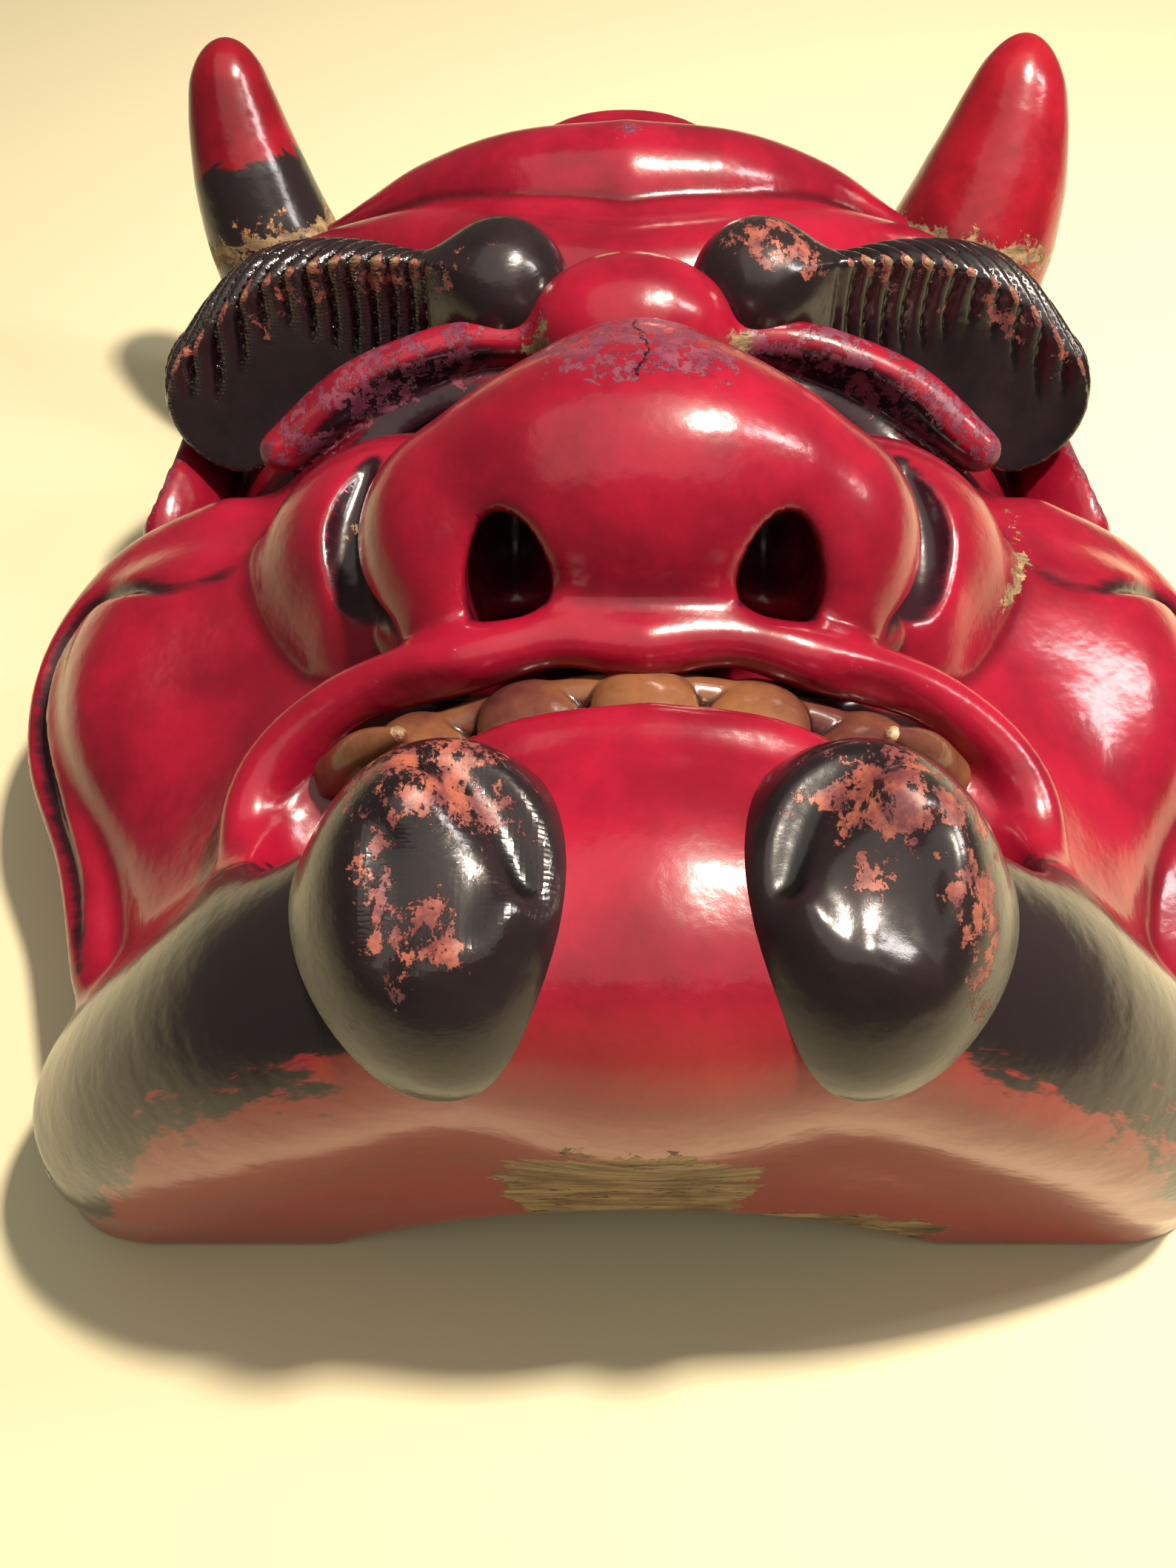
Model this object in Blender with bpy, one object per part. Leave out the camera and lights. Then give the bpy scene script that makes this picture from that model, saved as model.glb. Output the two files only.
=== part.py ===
"""Carved and lacquered wooden oni mask, lying face up on its back rim.

X runs across the face, Y from the chin up to the horns, Z out of the face. The face is one hollow
carved block. The brows, the chin tufts, the horns and the row of teeth are blocks of their own,
each let into a shallow seat in the face. Tables hold shares of the named sizes: across is a share
of HALF_WIDTH, up of FACE_HEIGHT, out of FACE_DEPTH, and a radius or blend is a share of FACE_DEPTH.
"""

import itertools
import math

import bmesh
import bpy
import numpy as np
from mathutils import Euler, Matrix, Vector

# Driving sizes, in metres.
FACE_HEIGHT = 0.250  # chin to crown
HALF_WIDTH = 0.120  # centre line to the outermost point of a jowl
FACE_DEPTH = 0.125  # back rim to the tip of the nose
WALL = 0.009  # wood left between the face and the hollow behind it
CHIN_ARCH_RISE = 0.021  # how far the rim under the chin lifts off the table
CHIN_ARCH_HALF_SPAN = 0.055

HORN_TIP_RADIUS = 0.0070

CORD_HOLE_WIDTH = 0.0070
CORD_HOLE_HEIGHT = 0.012

SEAT_DEPTH = 0.003  # how far a brow, tuft or tooth row is let into the face
HORN_SEAT_DEPTH = 0.005
SEAT_GAP = 0.0006  # clearance all round a seated piece
SEAT_EDGE_BLEND = 0.004  # rounding of the edge at the bottom of a seat

# How finely the wood is sampled while it is carved, and the facets that each solid keeps.
FACE_STEP = 0.0020
PIECE_STEP = 0.0012
FACE_TRIANGLES = 5100
BROW_TRIANGLES = 520
TUFT_TRIANGLES = 640
TOOTH_ROW_TRIANGLES = 600
SHORTEST_EDGE = 0.00003  # shorter edges are closed up after the cuts
HORN_SIDES = 18

# Sections of the head from the chin up: half width and crown of each, and how square it is.
HEAD_SECTIONS = (
    # up, half width, crown, squareness
    (-0.06, 0.90, 0.74, 1.75),
    (0.04, 0.92, 0.77, 1.75),
    (0.12, 0.92, 0.76, 1.75),
    (0.20, 0.89, 0.70, 1.90),
    (0.29, 0.92, 0.61, 2.50),
    (0.38, 0.98, 0.57, 3.00),
    (0.47, 1.00, 0.56, 3.10),
    (0.55, 0.93, 0.58, 2.70),
    (0.62, 0.84, 0.62, 2.40),
    (0.72, 0.82, 0.67, 2.30),
    (0.82, 0.82, 0.70, 2.40),
    (0.92, 0.78, 0.72, 2.40),
    (1.00, 0.72, 0.68, 2.40),
    (1.08, 0.64, 0.62, 2.30),
)
CHIN_BOTTOM_UP = 0.020
CHIN_BOTTOM_BLEND = 0.16
CROWN_UP = 1.04
CROWN_BLEND = 0.45

# Swellings added to the head.
# name, centre (across, up, out), half sizes (across, up, out), turn in degrees about X Y Z, blend
FACE_LUMPS = (
    ("chin", (0.00, 0.138, 0.56), (0.34, 0.138, 0.27), (0, 0, 0), 0.10),
    ("nose", (0.00, 0.420, 0.685), (0.385, 0.106, 0.290), (0, 0, 0), 0.08),
    ("nose_top", (0.00, 0.490, 0.680), (0.190, 0.105, 0.225), (0, 0, 0), 0.14),
    ("nose_wing", (0.290, 0.400, 0.65), (0.125, 0.084, 0.20), (0, 0, -12), 0.05),
    ("bridge", (0.00, 0.675, 0.67), (0.185, 0.064, 0.13), (0, 0, 0), 0.025),
    ("cheek", (0.355, 0.462, 0.50), (0.265, 0.140, 0.215), (0, 0, -12), 0.010),
    ("jowl", (0.74, 0.440, 0.32), (0.22, 0.130, 0.16), (0, 0, 0), 0.16),
    ("forehead_cap", (0.01, 0.978, 0.585), (0.25, 0.040, 0.135), (0, 0, 0), 0.015),
    ("ear", (0.86, 0.690, 0.26), (0.075, 0.100, 0.14), (0, 20, 8), 0.03),
)

# Rounded ridges: a smooth line through each row of (across, up, out, radius).
FACE_RIDGES = (
    (
        "forehead_band",
        ((0.00, 0.770, 0.605, 0.100), (0.20, 0.785, 0.600, 0.100), (0.38, 0.835, 0.565, 0.096),
         (0.54, 0.880, 0.51, 0.085), (0.68, 0.912, 0.45, 0.070)),
        0.05,
    ),
    (
        "forehead_lens",
        ((0.00, 0.902, 0.600, 0.142), (0.22, 0.922, 0.585, 0.118), (0.38, 0.950, 0.545, 0.080),
         (0.54, 0.972, 0.49, 0.045)),
        0.02,
    ),
    (
        "upper_eyelid",
        ((0.16, 0.650, 0.68, 0.024), (0.27, 0.652, 0.68, 0.030), (0.38, 0.642, 0.655, 0.034),
         (0.50, 0.628, 0.61, 0.034), (0.60, 0.594, 0.55, 0.028)),
        0.03,
    ),
    (
        "upper_lip",
        ((0.00, 0.300, 0.735, 0.046), (0.24, 0.302, 0.705, 0.048), (0.42, 0.296, 0.645, 0.050),
         (0.51, 0.262, 0.59, 0.056), (0.53, 0.215, 0.56, 0.056), (0.49, 0.150, 0.55, 0.050)),
        0.02,
    ),
    (
        "lower_lip",
        ((0.00, 0.220, 0.775, 0.030), (0.16, 0.216, 0.755, 0.030), (0.28, 0.203, 0.70, 0.028)),
        0.03,
    ),
    (
        "jowl_edge",
        ((0.72, 0.560, 0.44, 0.05), (0.89, 0.540, 0.36, 0.06), (0.99, 0.475, 0.29, 0.065),
         (0.985, 0.385, 0.27, 0.06), (0.90, 0.285, 0.26, 0.05), (0.84, 0.190, 0.25, 0.045)),
        0.06,
    ),
)

# Hollows scooped out of the face.
FACE_SCOOPS = (
    ("smile_valley", (0.76, 0.290, 0.76), (0.17, 0.170, 0.27), (0, 0, 14), 0.16),
    ("cheek_valley", (0.64, 0.362, 0.78), (0.15, 0.050, 0.22), (0, 0, -20), 0.10),
    ("ear_bowl", (0.925, 0.690, 0.36), (0.040, 0.062, 0.10), (0, 20, 8), 0.02),
    ("nostril", (0.182, 0.325, 0.757), (0.062, 0.105, 0.102), (0, 0, 0), 0.015),
)

# Lines and holes cut with a gouge: each row of (across, up, out, radius), then the blend.
FACE_GOUGES = (
    (
        "cheek_gap",
        ((0.415, 0.500, 0.70, 0.012), (0.438, 0.440, 0.69, 0.034), (0.422, 0.385, 0.67, 0.036),
         (0.360, 0.335, 0.69, 0.014)),
        0.01,
    ),
    (
        "jowl_line",
        ((0.62, 0.505, 0.56, 0.008), (0.68, 0.470, 0.54, 0.018), (0.76, 0.460, 0.525, 0.022),
         (0.85, 0.478, 0.48, 0.022), (0.95, 0.494, 0.40, 0.020), (1.015, 0.462, 0.34, 0.020),
         (1.020, 0.400, 0.32, 0.018), (0.965, 0.320, 0.31, 0.018), (0.90, 0.250, 0.30, 0.016),
         (0.865, 0.180, 0.29, 0.010)),
        0.01,
    ),
    (
        "eye",
        ((0.17, 0.612, 0.72, 0.034), (0.30, 0.604, 0.70, 0.056), (0.44, 0.588, 0.65, 0.060),
         (0.56, 0.556, 0.58, 0.038)),
        0.006,
    ),
    (
        "eye_socket",
        ((0.24, 0.605, 0.60, 0.050), (0.36, 0.610, 0.50, 0.060), (0.48, 0.600, 0.44, 0.050)),
        0.02,
    ),
    ("nostril_passage", ((0.178, 0.350, 0.72, 0.042), (0.165, 0.352, 0.50, 0.042)), 0.015),
    (
        "mouth",
        ((0.00, 0.258, 0.79, 0.036), (0.20, 0.256, 0.76, 0.042), (0.35, 0.246, 0.71, 0.074),
         (0.415, 0.210, 0.66, 0.100), (0.400, 0.160, 0.63, 0.090)),
        0.006,
    ),
    (
        "mouth_depth",
        ((0.00, 0.254, 0.66, 0.054), (0.24, 0.250, 0.60, 0.056), (0.36, 0.240, 0.52, 0.054)),
        0.02,
    ),
)

# The brow: its knob beside the bridge, the waist, the broad outer end and the flat cut below it.
BROW_KNOB = ((0.225, 0.724, 0.685), (0.120, 0.060, 0.120), (0, 0, 0))
BROW_LINE = (
    (0.24, 0.716, 0.68, 0.080),
    (0.37, 0.712, 0.66, 0.080),
    (0.50, 0.746, 0.62, 0.112),
    (0.64, 0.764, 0.57, 0.128),
    (0.77, 0.742, 0.48, 0.110),
)
BROW_DROP = ((0.38, 0.708, 0.65, 0.070), (0.55, 0.714, 0.585, 0.092), (0.74, 0.690, 0.47, 0.090))
BROW_FACET = (
    (0.40, 0.500, 1.045, 0.480),
    (0.50, 0.518, 1.015, 0.480),
    (0.64, 0.536, 0.965, 0.480),
    (0.80, 0.511, 0.880, 0.480),
)
BROW_BLEND = 0.12
KNOB_BLEND = 0.05
FACET_BLEND = 0.015

# The chin tuft: a curl at the mouth's corner, and its tail along the jaw to the corner.
TUFT_CURL = ((0.243, 0.120, 0.745), (0.137, 0.076, 0.165), (0, 0, 0))
TUFT_COLLAR = ((0.247, 0.102, 0.690), (0.150, 0.088, 0.155), (0, 0, 0))
TUFT_TAIL = (
    (0.27, 0.105, 0.660, 0.140),
    (0.44, 0.098, 0.530, 0.150),
    (0.61, 0.093, 0.375, 0.145),
    (0.75, 0.096, 0.215, 0.135),
)
TUFT_BLEND = 0.14
CURL_BLEND = 0.10

# The teeth: a gum bar along the upper jaw, pointed teeth side by side and a fang at each end.
GUM_LINE = (
    (-0.38, 0.254, 0.61, 0.026),
    (-0.19, 0.274, 0.665, 0.028),
    (0.00, 0.280, 0.690, 0.028),
    (0.19, 0.274, 0.665, 0.028),
    (0.38, 0.254, 0.61, 0.026),
)
TEETH = 5
TOOTH_PITCH = 0.150
TOOTH_RADIUS = 0.046
TOOTH_TIP_RADIUS = 0.010
TOOTH_REACH = (0.0, -0.040, 0.030)  # from a tooth's root to its tip
FANG = ((0.420, 0.246, 0.60, 0.034), (0.375, 0.242, 0.665, 0.028), (0.322, 0.236, 0.715, 0.012))
TOOTH_BLEND = 0.006
FANG_BLEND = 0.015

# The horns: where each stands on the forehead, the way it points and the size of each.
HORN_FOOT = (0.745, 0.985, 0.43)
HORN_POINTS = (0.20, 0.42, 0.88)
# side, length, radius at the foot
HORNS = (
    ("left", -1, 0.050, 0.0178),
    ("right", 1, 0.051, 0.0228),
)
# share of the length, share of the way from tip radius to base radius
HORN_PROFILE = ((0.0, 1.0), (0.2, 0.90), (0.45, 0.70), (0.7, 0.43), (0.86, 0.22), (0.93, 0.11), (0.98, 0.02))
HORN_BOW = 0.05  # how far the middle of the horn bows outwards, as a share of its length

CORD_HOLE = (0.840, 0.064, 0.22)

RED_LACQUER = ((0.46, 0.012, 0.022, 1.0), 0.26)
DARK_RED_LACQUER = ((0.33, 0.010, 0.018, 1.0), 0.28)
BLACK_LACQUER = ((0.016, 0.012, 0.012, 1.0), 0.34)
OLD_GILT = ((0.42, 0.20, 0.06, 1.0), 0.42)


def place(shares):
    """The point that a row of shares stands for."""
    across, up, out = shares[:3]
    return np.array((across * HALF_WIDTH, up * FACE_HEIGHT, out * FACE_DEPTH))


def deep(share):
    """A radius or a blend, given as a share of the face's depth."""
    return share * FACE_DEPTH


def soft_min(a, b, blend):
    """The lower of two distances, rounded over where they are within blend of each other."""
    if blend <= 0:
        return np.minimum(a, b)
    near = np.maximum(blend - np.abs(a - b), 0) / blend
    return np.minimum(a, b) - near * near * blend * 0.25


class Lump:
    """An ellipsoid."""

    def __init__(self, centre, half_sizes, turn=(0, 0, 0)):
        self.centre = place(centre)
        self.half_sizes = place(half_sizes)
        self.to_own = np.array(Euler([math.radians(a) for a in turn]).to_matrix()).T
        reach = self.half_sizes.max()
        self.low, self.high = self.centre - reach, self.centre + reach

    def distance(self, x, y, z):
        offset = (x - self.centre[0], y - self.centre[1], z - self.centre[2])
        own = [sum(row[i] * offset[i] for i in range(3)) for row in self.to_own]
        scaled = np.sqrt(sum((p / s) ** 2 for p, s in zip(own, self.half_sizes)))
        slope = np.sqrt(sum((p / s**2) ** 2 for p, s in zip(own, self.half_sizes)))
        return scaled * (scaled - 1) / np.maximum(slope, 1e-6)


class Ridge:
    """A round bar of changing radius along a smooth line through its rows."""

    def __init__(self, rows, spans=5):
        stops = [np.append(place(row), deep(row[3])) for row in rows]
        self.stops = smooth_line(stops, spans)
        reach = max(stop[3] for stop in stops)
        line = np.array(self.stops)[:, :3]
        self.low, self.high = line.min(axis=0) - reach, line.max(axis=0) + reach

    def distance(self, x, y, z):
        nearest = np.inf
        for start, end in zip(self.stops, self.stops[1:]):
            run = end[:3] - start[:3]
            offset = (x - start[0], y - start[1], z - start[2])
            along = sum(offset[i] * run[i] for i in range(3)) / (run @ run)
            along = np.clip(along, 0, 1)
            away = np.sqrt(sum((offset[i] - along * run[i]) ** 2 for i in range(3)))
            nearest = np.minimum(nearest, away - start[3] - along * (end[3] - start[3]))
        return nearest


def smooth_line(stops, spans):
    """Points on a Catmull-Rom curve through the stops, spans of them between each two."""
    ends = [2 * stops[0] - stops[1], *stops, 2 * stops[-1] - stops[-2]]
    line = []
    for a, b, c, d in zip(ends, ends[1:], ends[2:], ends[3:]):
        for k in range(spans):
            t = k / spans
            line.append(
                0.5 * (2 * b + (c - a) * t + (2 * a - 5 * b + 4 * c - d) * t**2
                       + (3 * b - a - 3 * c + d) * t**3)
            )
    return [*line, stops[-1]]


class Block:
    """A block of wood, sampled on a grid: each sample is its distance to the surface, below 0 in wood."""

    def __init__(self, low, high, step):
        self.low, self.step = np.array(low), step
        counts = [int(math.ceil((b - a) / step)) + 1 for a, b in zip(low, high)]
        lines = [a + step * np.arange(n) for a, n in zip(low, counts)]
        self.axes = np.meshgrid(*[line.astype(np.float32) for line in lines], indexing="ij", sparse=True)
        self.wood = np.full(counts, 1.0, np.float32)

    def around(self, form, margin):
        """The samples near a form, as slices of the grid and their coordinates."""
        first = np.floor((form.low - margin - self.low) / self.step).astype(int)
        last = np.ceil((form.high + margin - self.low) / self.step).astype(int) + 1
        part = tuple(
            slice(max(0, a), max(0, min(n, b))) for a, b, n in zip(first, last, self.wood.shape)
        )
        axes = [self.axes[i][tuple(p if i == k else slice(None) for k, p in enumerate(part))] for i in range(3)]
        return part, axes

    def add(self, form, blend=0.0):
        part, axes = self.around(form, blend + self.step)
        if self.wood[part].size:
            self.wood[part] = soft_min(self.wood[part], form.distance(*axes), blend)

    def cut(self, form, blend=0.0):
        part, axes = self.around(form, blend + self.step)
        if self.wood[part].size:
            self.wood[part] = -soft_min(-self.wood[part], form.distance(*axes), blend)

    def keep_below(self, distance, blend=0.0):
        """Keeps the wood only where the given distance is below 0."""
        self.wood = -soft_min(-self.wood, -distance, blend)

    def true_distances(self):
        """Rescales the samples to real distances near the surface."""
        slopes = np.gradient(self.wood, self.step)
        self.wood = self.wood / np.maximum(np.sqrt(sum(s * s for s in slopes)), 0.2)


def softened(field, passes):
    """The samples averaged with their neighbours, which rounds small forms away."""
    for _ in range(passes):
        for axis in range(3):
            grown = np.pad(field, [(1, 1) if i == axis else (0, 0) for i in range(3)], mode="edge")
            before = np.take(grown, range(0, field.shape[axis]), axis=axis)
            after = np.take(grown, range(2, field.shape[axis] + 2), axis=axis)
            field = (before + 2 * field + after) / 4
    return field


def skin(wood, low, step):
    """The surface of the sampled wood: each cell is split into six tetrahedra, cut where they cross it."""
    inside = wood < 0
    corners = list(itertools.product((0, 1), repeat=3))
    size = [n - 1 for n in wood.shape]
    filled = sum(
        inside[i : i + size[0], j : j + size[1], k : k + size[2]].astype(np.int8) for i, j, k in corners
    )
    cells = np.argwhere((filled > 0) & (filled < 8))
    strides = np.array((wood.shape[1] * wood.shape[2], wood.shape[2], 1))
    values, signs = wood.ravel(), inside.ravel()
    triangles = []
    for order in itertools.permutations(range(3)):
        steps = np.cumsum([(0, 0, 0), *np.eye(3, dtype=int)[list(order)]], axis=0)
        own = (cells[:, None, :] + steps) @ strides
        code = signs[own] @ (1, 2, 4, 8)
        right_handed = order in ((0, 1, 2), (1, 2, 0), (2, 0, 1))
        for case in range(1, 15):
            found = own[code == case]
            within = [k for k in range(4) if case >> k & 1]
            without = [k for k in range(4) if not case >> k & 1]
            # The order of the four corners decides which way round the cut faces.
            even = sum(a > b for i, a in enumerate(within + without) for b in (within + without)[i:]) % 2 == 0
            if len(within) == 1:
                cut = [[(within[0], k) for k in without]]
            elif len(within) == 3:
                cut = [[(k, without[0]) for k in within]]
            else:
                (a, b), (c, d) = within, without
                cut = [[(a, c), (a, d), (b, d)], [(a, c), (b, d), (b, c)]]
            turned = even == right_handed
            for corner in cut:
                ends = np.stack([found[:, pair] for pair in corner], axis=1)
                triangles.append(np.sort(ends if turned else ends[:, ::-1], axis=2))
    triangles = np.concatenate(triangles)
    keys = triangles[..., 0] * values.size + triangles[..., 1]
    unique, index = np.unique(keys, return_inverse=True)
    start, end = unique // values.size, unique % values.size
    share = values[start] / (values[start] - values[end])
    start, end = (np.stack(np.unravel_index(e, wood.shape), axis=1) for e in (start, end))
    points = low + (start + share[:, None] * (end - start)) * step
    return points, largest_body(len(points), index.reshape(-1, 3))


def largest_body(count, triangles):
    """The triangles of the largest body, so that no crumb of wood is left beside it."""
    body = np.arange(count)
    edges = np.concatenate([triangles[:, :2], triangles[:, 1:]])
    settled = False
    while not settled:
        lowest = body[edges].min(axis=1)
        merged = body.copy()
        np.minimum.at(merged, edges.ravel(), np.repeat(lowest, 2))
        merged = merged[merged]
        settled = (merged == body).all()
        body = merged
    return triangles[body[triangles[:, 0]] == np.bincount(body).argmax()]


def mesh_of(name, points, faces):
    mesh = bpy.data.meshes.new(name)
    used, faces = np.unique(faces, return_inverse=True)
    mesh.from_pydata(points[used].tolist(), [], faces.reshape(-1, 3).tolist())
    mesh.update()
    return mesh


def faceted(name, mesh, triangles, material):
    """An object of the mesh, brought down to so many triangles."""
    piece = bpy.data.objects.new(name, mesh)
    bpy.context.scene.collection.objects.link(piece)
    mesh.materials.append(material)
    facets = piece.modifiers.new("Facets", "DECIMATE")
    facets.ratio = min(1.0, triangles / len(mesh.polygons))
    return piece


def lacquer(name, finish):
    colour, roughness = finish
    material = bpy.data.materials.new(name)
    material.use_nodes = True
    shader = material.node_tree.nodes["Principled BSDF"]
    shader.inputs["Base Color"].default_value = colour
    shader.inputs["Roughness"].default_value = roughness
    shader.inputs["Metallic"].default_value = 0.0
    return material


def section_sizes(block):
    """The half width, the crown and the squareness of the head at each Y of the block."""
    rows = np.array(HEAD_SECTIONS)
    line = np.array(smooth_line(list(rows), 8))
    up = block.axes[1] / FACE_HEIGHT
    half_width, crown, squareness = (np.interp(up, line[:, 0], line[:, c]) for c in (1, 2, 3))
    return half_width * HALF_WIDTH, crown * FACE_DEPTH, squareness


def carve_face(block):
    """Carves the outer form of the face, still solid behind, into a block of X 0 and above."""
    x, y, z = block.axes
    half_width, crown, squareness = section_sizes(block)
    wide = (np.abs(x) / half_width) ** squareness
    high = (np.maximum(z, 0) / crown) ** squareness
    around = np.minimum(half_width, crown)
    block.wood = (((wide + high) ** (1 / squareness) - 1) * around).astype(np.float32)
    block.true_distances()
    block.keep_below(y - CROWN_UP * FACE_HEIGHT, deep(CROWN_BLEND))
    block.keep_below(CHIN_BOTTOM_UP * FACE_HEIGHT - y, deep(CHIN_BOTTOM_BLEND))
    for _, centre, half_sizes, turn, blend in FACE_LUMPS:
        block.add(Lump(centre, half_sizes, turn), deep(blend))
    for _, rows, blend in FACE_RIDGES:
        block.add(Ridge(rows), deep(blend))
    for _, centre, half_sizes, turn, blend in FACE_SCOOPS:
        block.cut(Lump(centre, half_sizes, turn), deep(blend))


def face_shell(material):
    """The face: carved in front, hollow behind, with its eyes, nostrils and mouth cut through."""
    # No layer of samples lies in a flat side of the form, where the cuts would have no width.
    margin = 3.6 * FACE_STEP
    low = (0.0, -margin, -margin)
    high = (1.08 * HALF_WIDTH, (CROWN_UP + 0.03) * FACE_HEIGHT, 1.04 * FACE_DEPTH)
    block = Block(low, high, FACE_STEP)
    carve_face(block)
    hollow = np.maximum(block.wood, softened(block.wood, 10)) + WALL
    # It is gouged out from behind, so nothing is cut that wood stands behind.
    hollow = softened(np.maximum.accumulate(hollow, axis=2), 8)
    block.keep_below(-hollow)
    for _, rows, blend in FACE_GOUGES:
        block.cut(Ridge(rows), deep(blend))
    both = np.concatenate([block.wood[:0:-1], block.wood])
    left = np.array((-(block.wood.shape[0] - 1) * FACE_STEP, low[1], low[2]))
    # The last layer of samples is air, so that the back is closed until it is sawn flat.
    both[:, :, 0] = FACE_STEP
    points, quads = skin(both, left, FACE_STEP)
    return faceted("face_shell", mesh_of("face_shell", points, quads), FACE_TRIANGLES, material)


def piece_block(forms):
    """A block just large enough for the forms."""
    margin = 3 * PIECE_STEP
    low = np.min([form.low for form in forms], axis=0) - margin
    high = np.max([form.high for form in forms], axis=0) + margin
    return Block(low, high, PIECE_STEP)


def let_in(block, depth):
    """Cuts a piece's back to follow the face roughly, so deep below its surface."""
    face = Block(block.low, block.low + (np.array(block.wood.shape) - 1) * block.step, block.step)
    carve_face(face)
    wood = softened(face.wood[tuple(slice(0, n) for n in block.wood.shape)], 12)
    block.keep_below(-(wood + depth), SEAT_EDGE_BLEND)


def pair(name, block, triangles, material):
    """The right-hand piece as carved and the left-hand one as its mirror image."""
    points, quads = skin(block.wood, block.low, block.step)
    right = faceted(f"{name}_right", mesh_of(f"{name}_right", points, quads), triangles, material)
    mirrored = points * (-1, 1, 1)
    left = faceted(f"{name}_left", mesh_of(f"{name}_left", mirrored, quads[:, ::-1]), triangles, material)
    return [left, right]


def brows(material):
    line, drop, knob = Ridge(BROW_LINE), Ridge(BROW_DROP), Lump(*BROW_KNOB)
    block = piece_block([line, drop, knob])
    block.add(line)
    block.add(drop, deep(BROW_BLEND))
    block.cut(Ridge(BROW_FACET), deep(FACET_BLEND))
    block.add(knob, deep(KNOB_BLEND))
    let_in(block, SEAT_DEPTH)
    return pair("brow", block, BROW_TRIANGLES, material)


def chin_tufts(material):
    curl, collar, tail = Lump(*TUFT_CURL), Lump(*TUFT_COLLAR), Ridge(TUFT_TAIL)
    block = piece_block([curl, collar, tail])
    block.add(collar)
    block.add(tail, deep(TUFT_BLEND))
    block.add(curl, deep(CURL_BLEND))
    let_in(block, SEAT_DEPTH)
    return pair("chin_tuft", block, TUFT_TRIANGLES, material)


def tooth_row(material):
    gum = Ridge(GUM_LINE)
    fangs = [Ridge([(side * row[0], *row[1:]) for row in FANG]) for side in (-1, 1)]
    block = piece_block([gum, *fangs])
    block.add(gum)
    across, up, out, _ = np.array(GUM_LINE).T
    for k in range(TEETH):
        spot = (k - (TEETH - 1) / 2) * TOOTH_PITCH
        root = np.array((spot, np.interp(spot, across, up), np.interp(spot, across, out)))
        tip = root + TOOTH_REACH
        block.add(Ridge(((*root, TOOTH_RADIUS), (*tip, TOOTH_TIP_RADIUS))), deep(TOOTH_BLEND))
    for fang in fangs:
        block.add(fang, deep(FANG_BLEND))
    points, quads = skin(block.wood, block.low, block.step)
    return faceted("tooth_row", mesh_of("tooth_row", points, quads), TOOTH_ROW_TRIANGLES, material)


def horn(name, side, length, base_radius, material):
    """One horn: rings along its bowed axis, closed by a rounded tip and a flat foot."""
    points = Vector(HORN_POINTS).normalized()
    foot = Vector(place(HORN_FOOT)) - points * HORN_SEAT_DEPTH
    outwards = Vector((1, 0, 0)) - points * points.x
    tall = length + HORN_SEAT_DEPTH
    form = bmesh.new()
    rings = []
    for along, fullness in HORN_PROFILE:
        radius = HORN_TIP_RADIUS + fullness * (base_radius - HORN_TIP_RADIUS)
        left_over = (1 - along) * tall
        if left_over < radius:
            radius = math.sqrt(left_over * (2 * radius - left_over))
        bow = HORN_BOW * length * 4 * along * (1 - along)
        centre = foot + points * along * tall + outwards * bow
        turned = Matrix.Translation(centre) @ points.to_track_quat("Z", "X").to_matrix().to_4x4()
        ring = bmesh.ops.create_circle(form, segments=HORN_SIDES, radius=radius, matrix=turned)
        rings.append(ring["verts"])
    for lower, upper in zip(rings, rings[1:]):
        for k in range(HORN_SIDES):
            n = (k + 1) % HORN_SIDES
            form.faces.new((lower[k], lower[n], upper[n], upper[k]))
    form.faces.new(rings[0][::-1])
    tip = form.verts.new(foot + points * tall)
    for k in range(HORN_SIDES):
        form.faces.new((rings[-1][k], rings[-1][(k + 1) % HORN_SIDES], tip))
    if side < 0:
        bmesh.ops.scale(form, vec=(-1, 1, 1), verts=form.verts)
        bmesh.ops.reverse_faces(form, faces=form.faces)
    mesh = bpy.data.meshes.new(f"horn_{name}")
    form.to_mesh(mesh)
    form.free()
    mesh.materials.append(material)
    piece = bpy.data.objects.new(f"horn_{name}", mesh)
    bpy.context.scene.collection.objects.link(piece)
    return piece


def cutter(name, mesh):
    """A helper that only cuts, so it is never part of the object."""
    tool = bpy.data.objects.new(name, mesh)
    bpy.context.scene.collection.objects.link(tool)
    tool.hide_render = True
    tool.display_type = "WIRE"
    return tool


def subtract(piece, tool):
    cut = piece.modifiers.new(tool.name, "BOOLEAN")
    cut.operation = "DIFFERENCE"
    cut.object = tool
    cut.use_self = True


def seat(face, piece):
    """Cuts a seat for the piece into the face, wider by the seat gap all round."""
    tool = cutter(f"{piece.name}_seat", piece.data)
    for source in piece.modifiers:
        copy = tool.modifiers.new(source.name, source.type)
        copy.ratio = source.ratio
    swell = tool.modifiers.new("Gap", "DISPLACE")
    swell.mid_level = 0.0
    swell.strength = SEAT_GAP
    subtract(face, tool)


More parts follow.
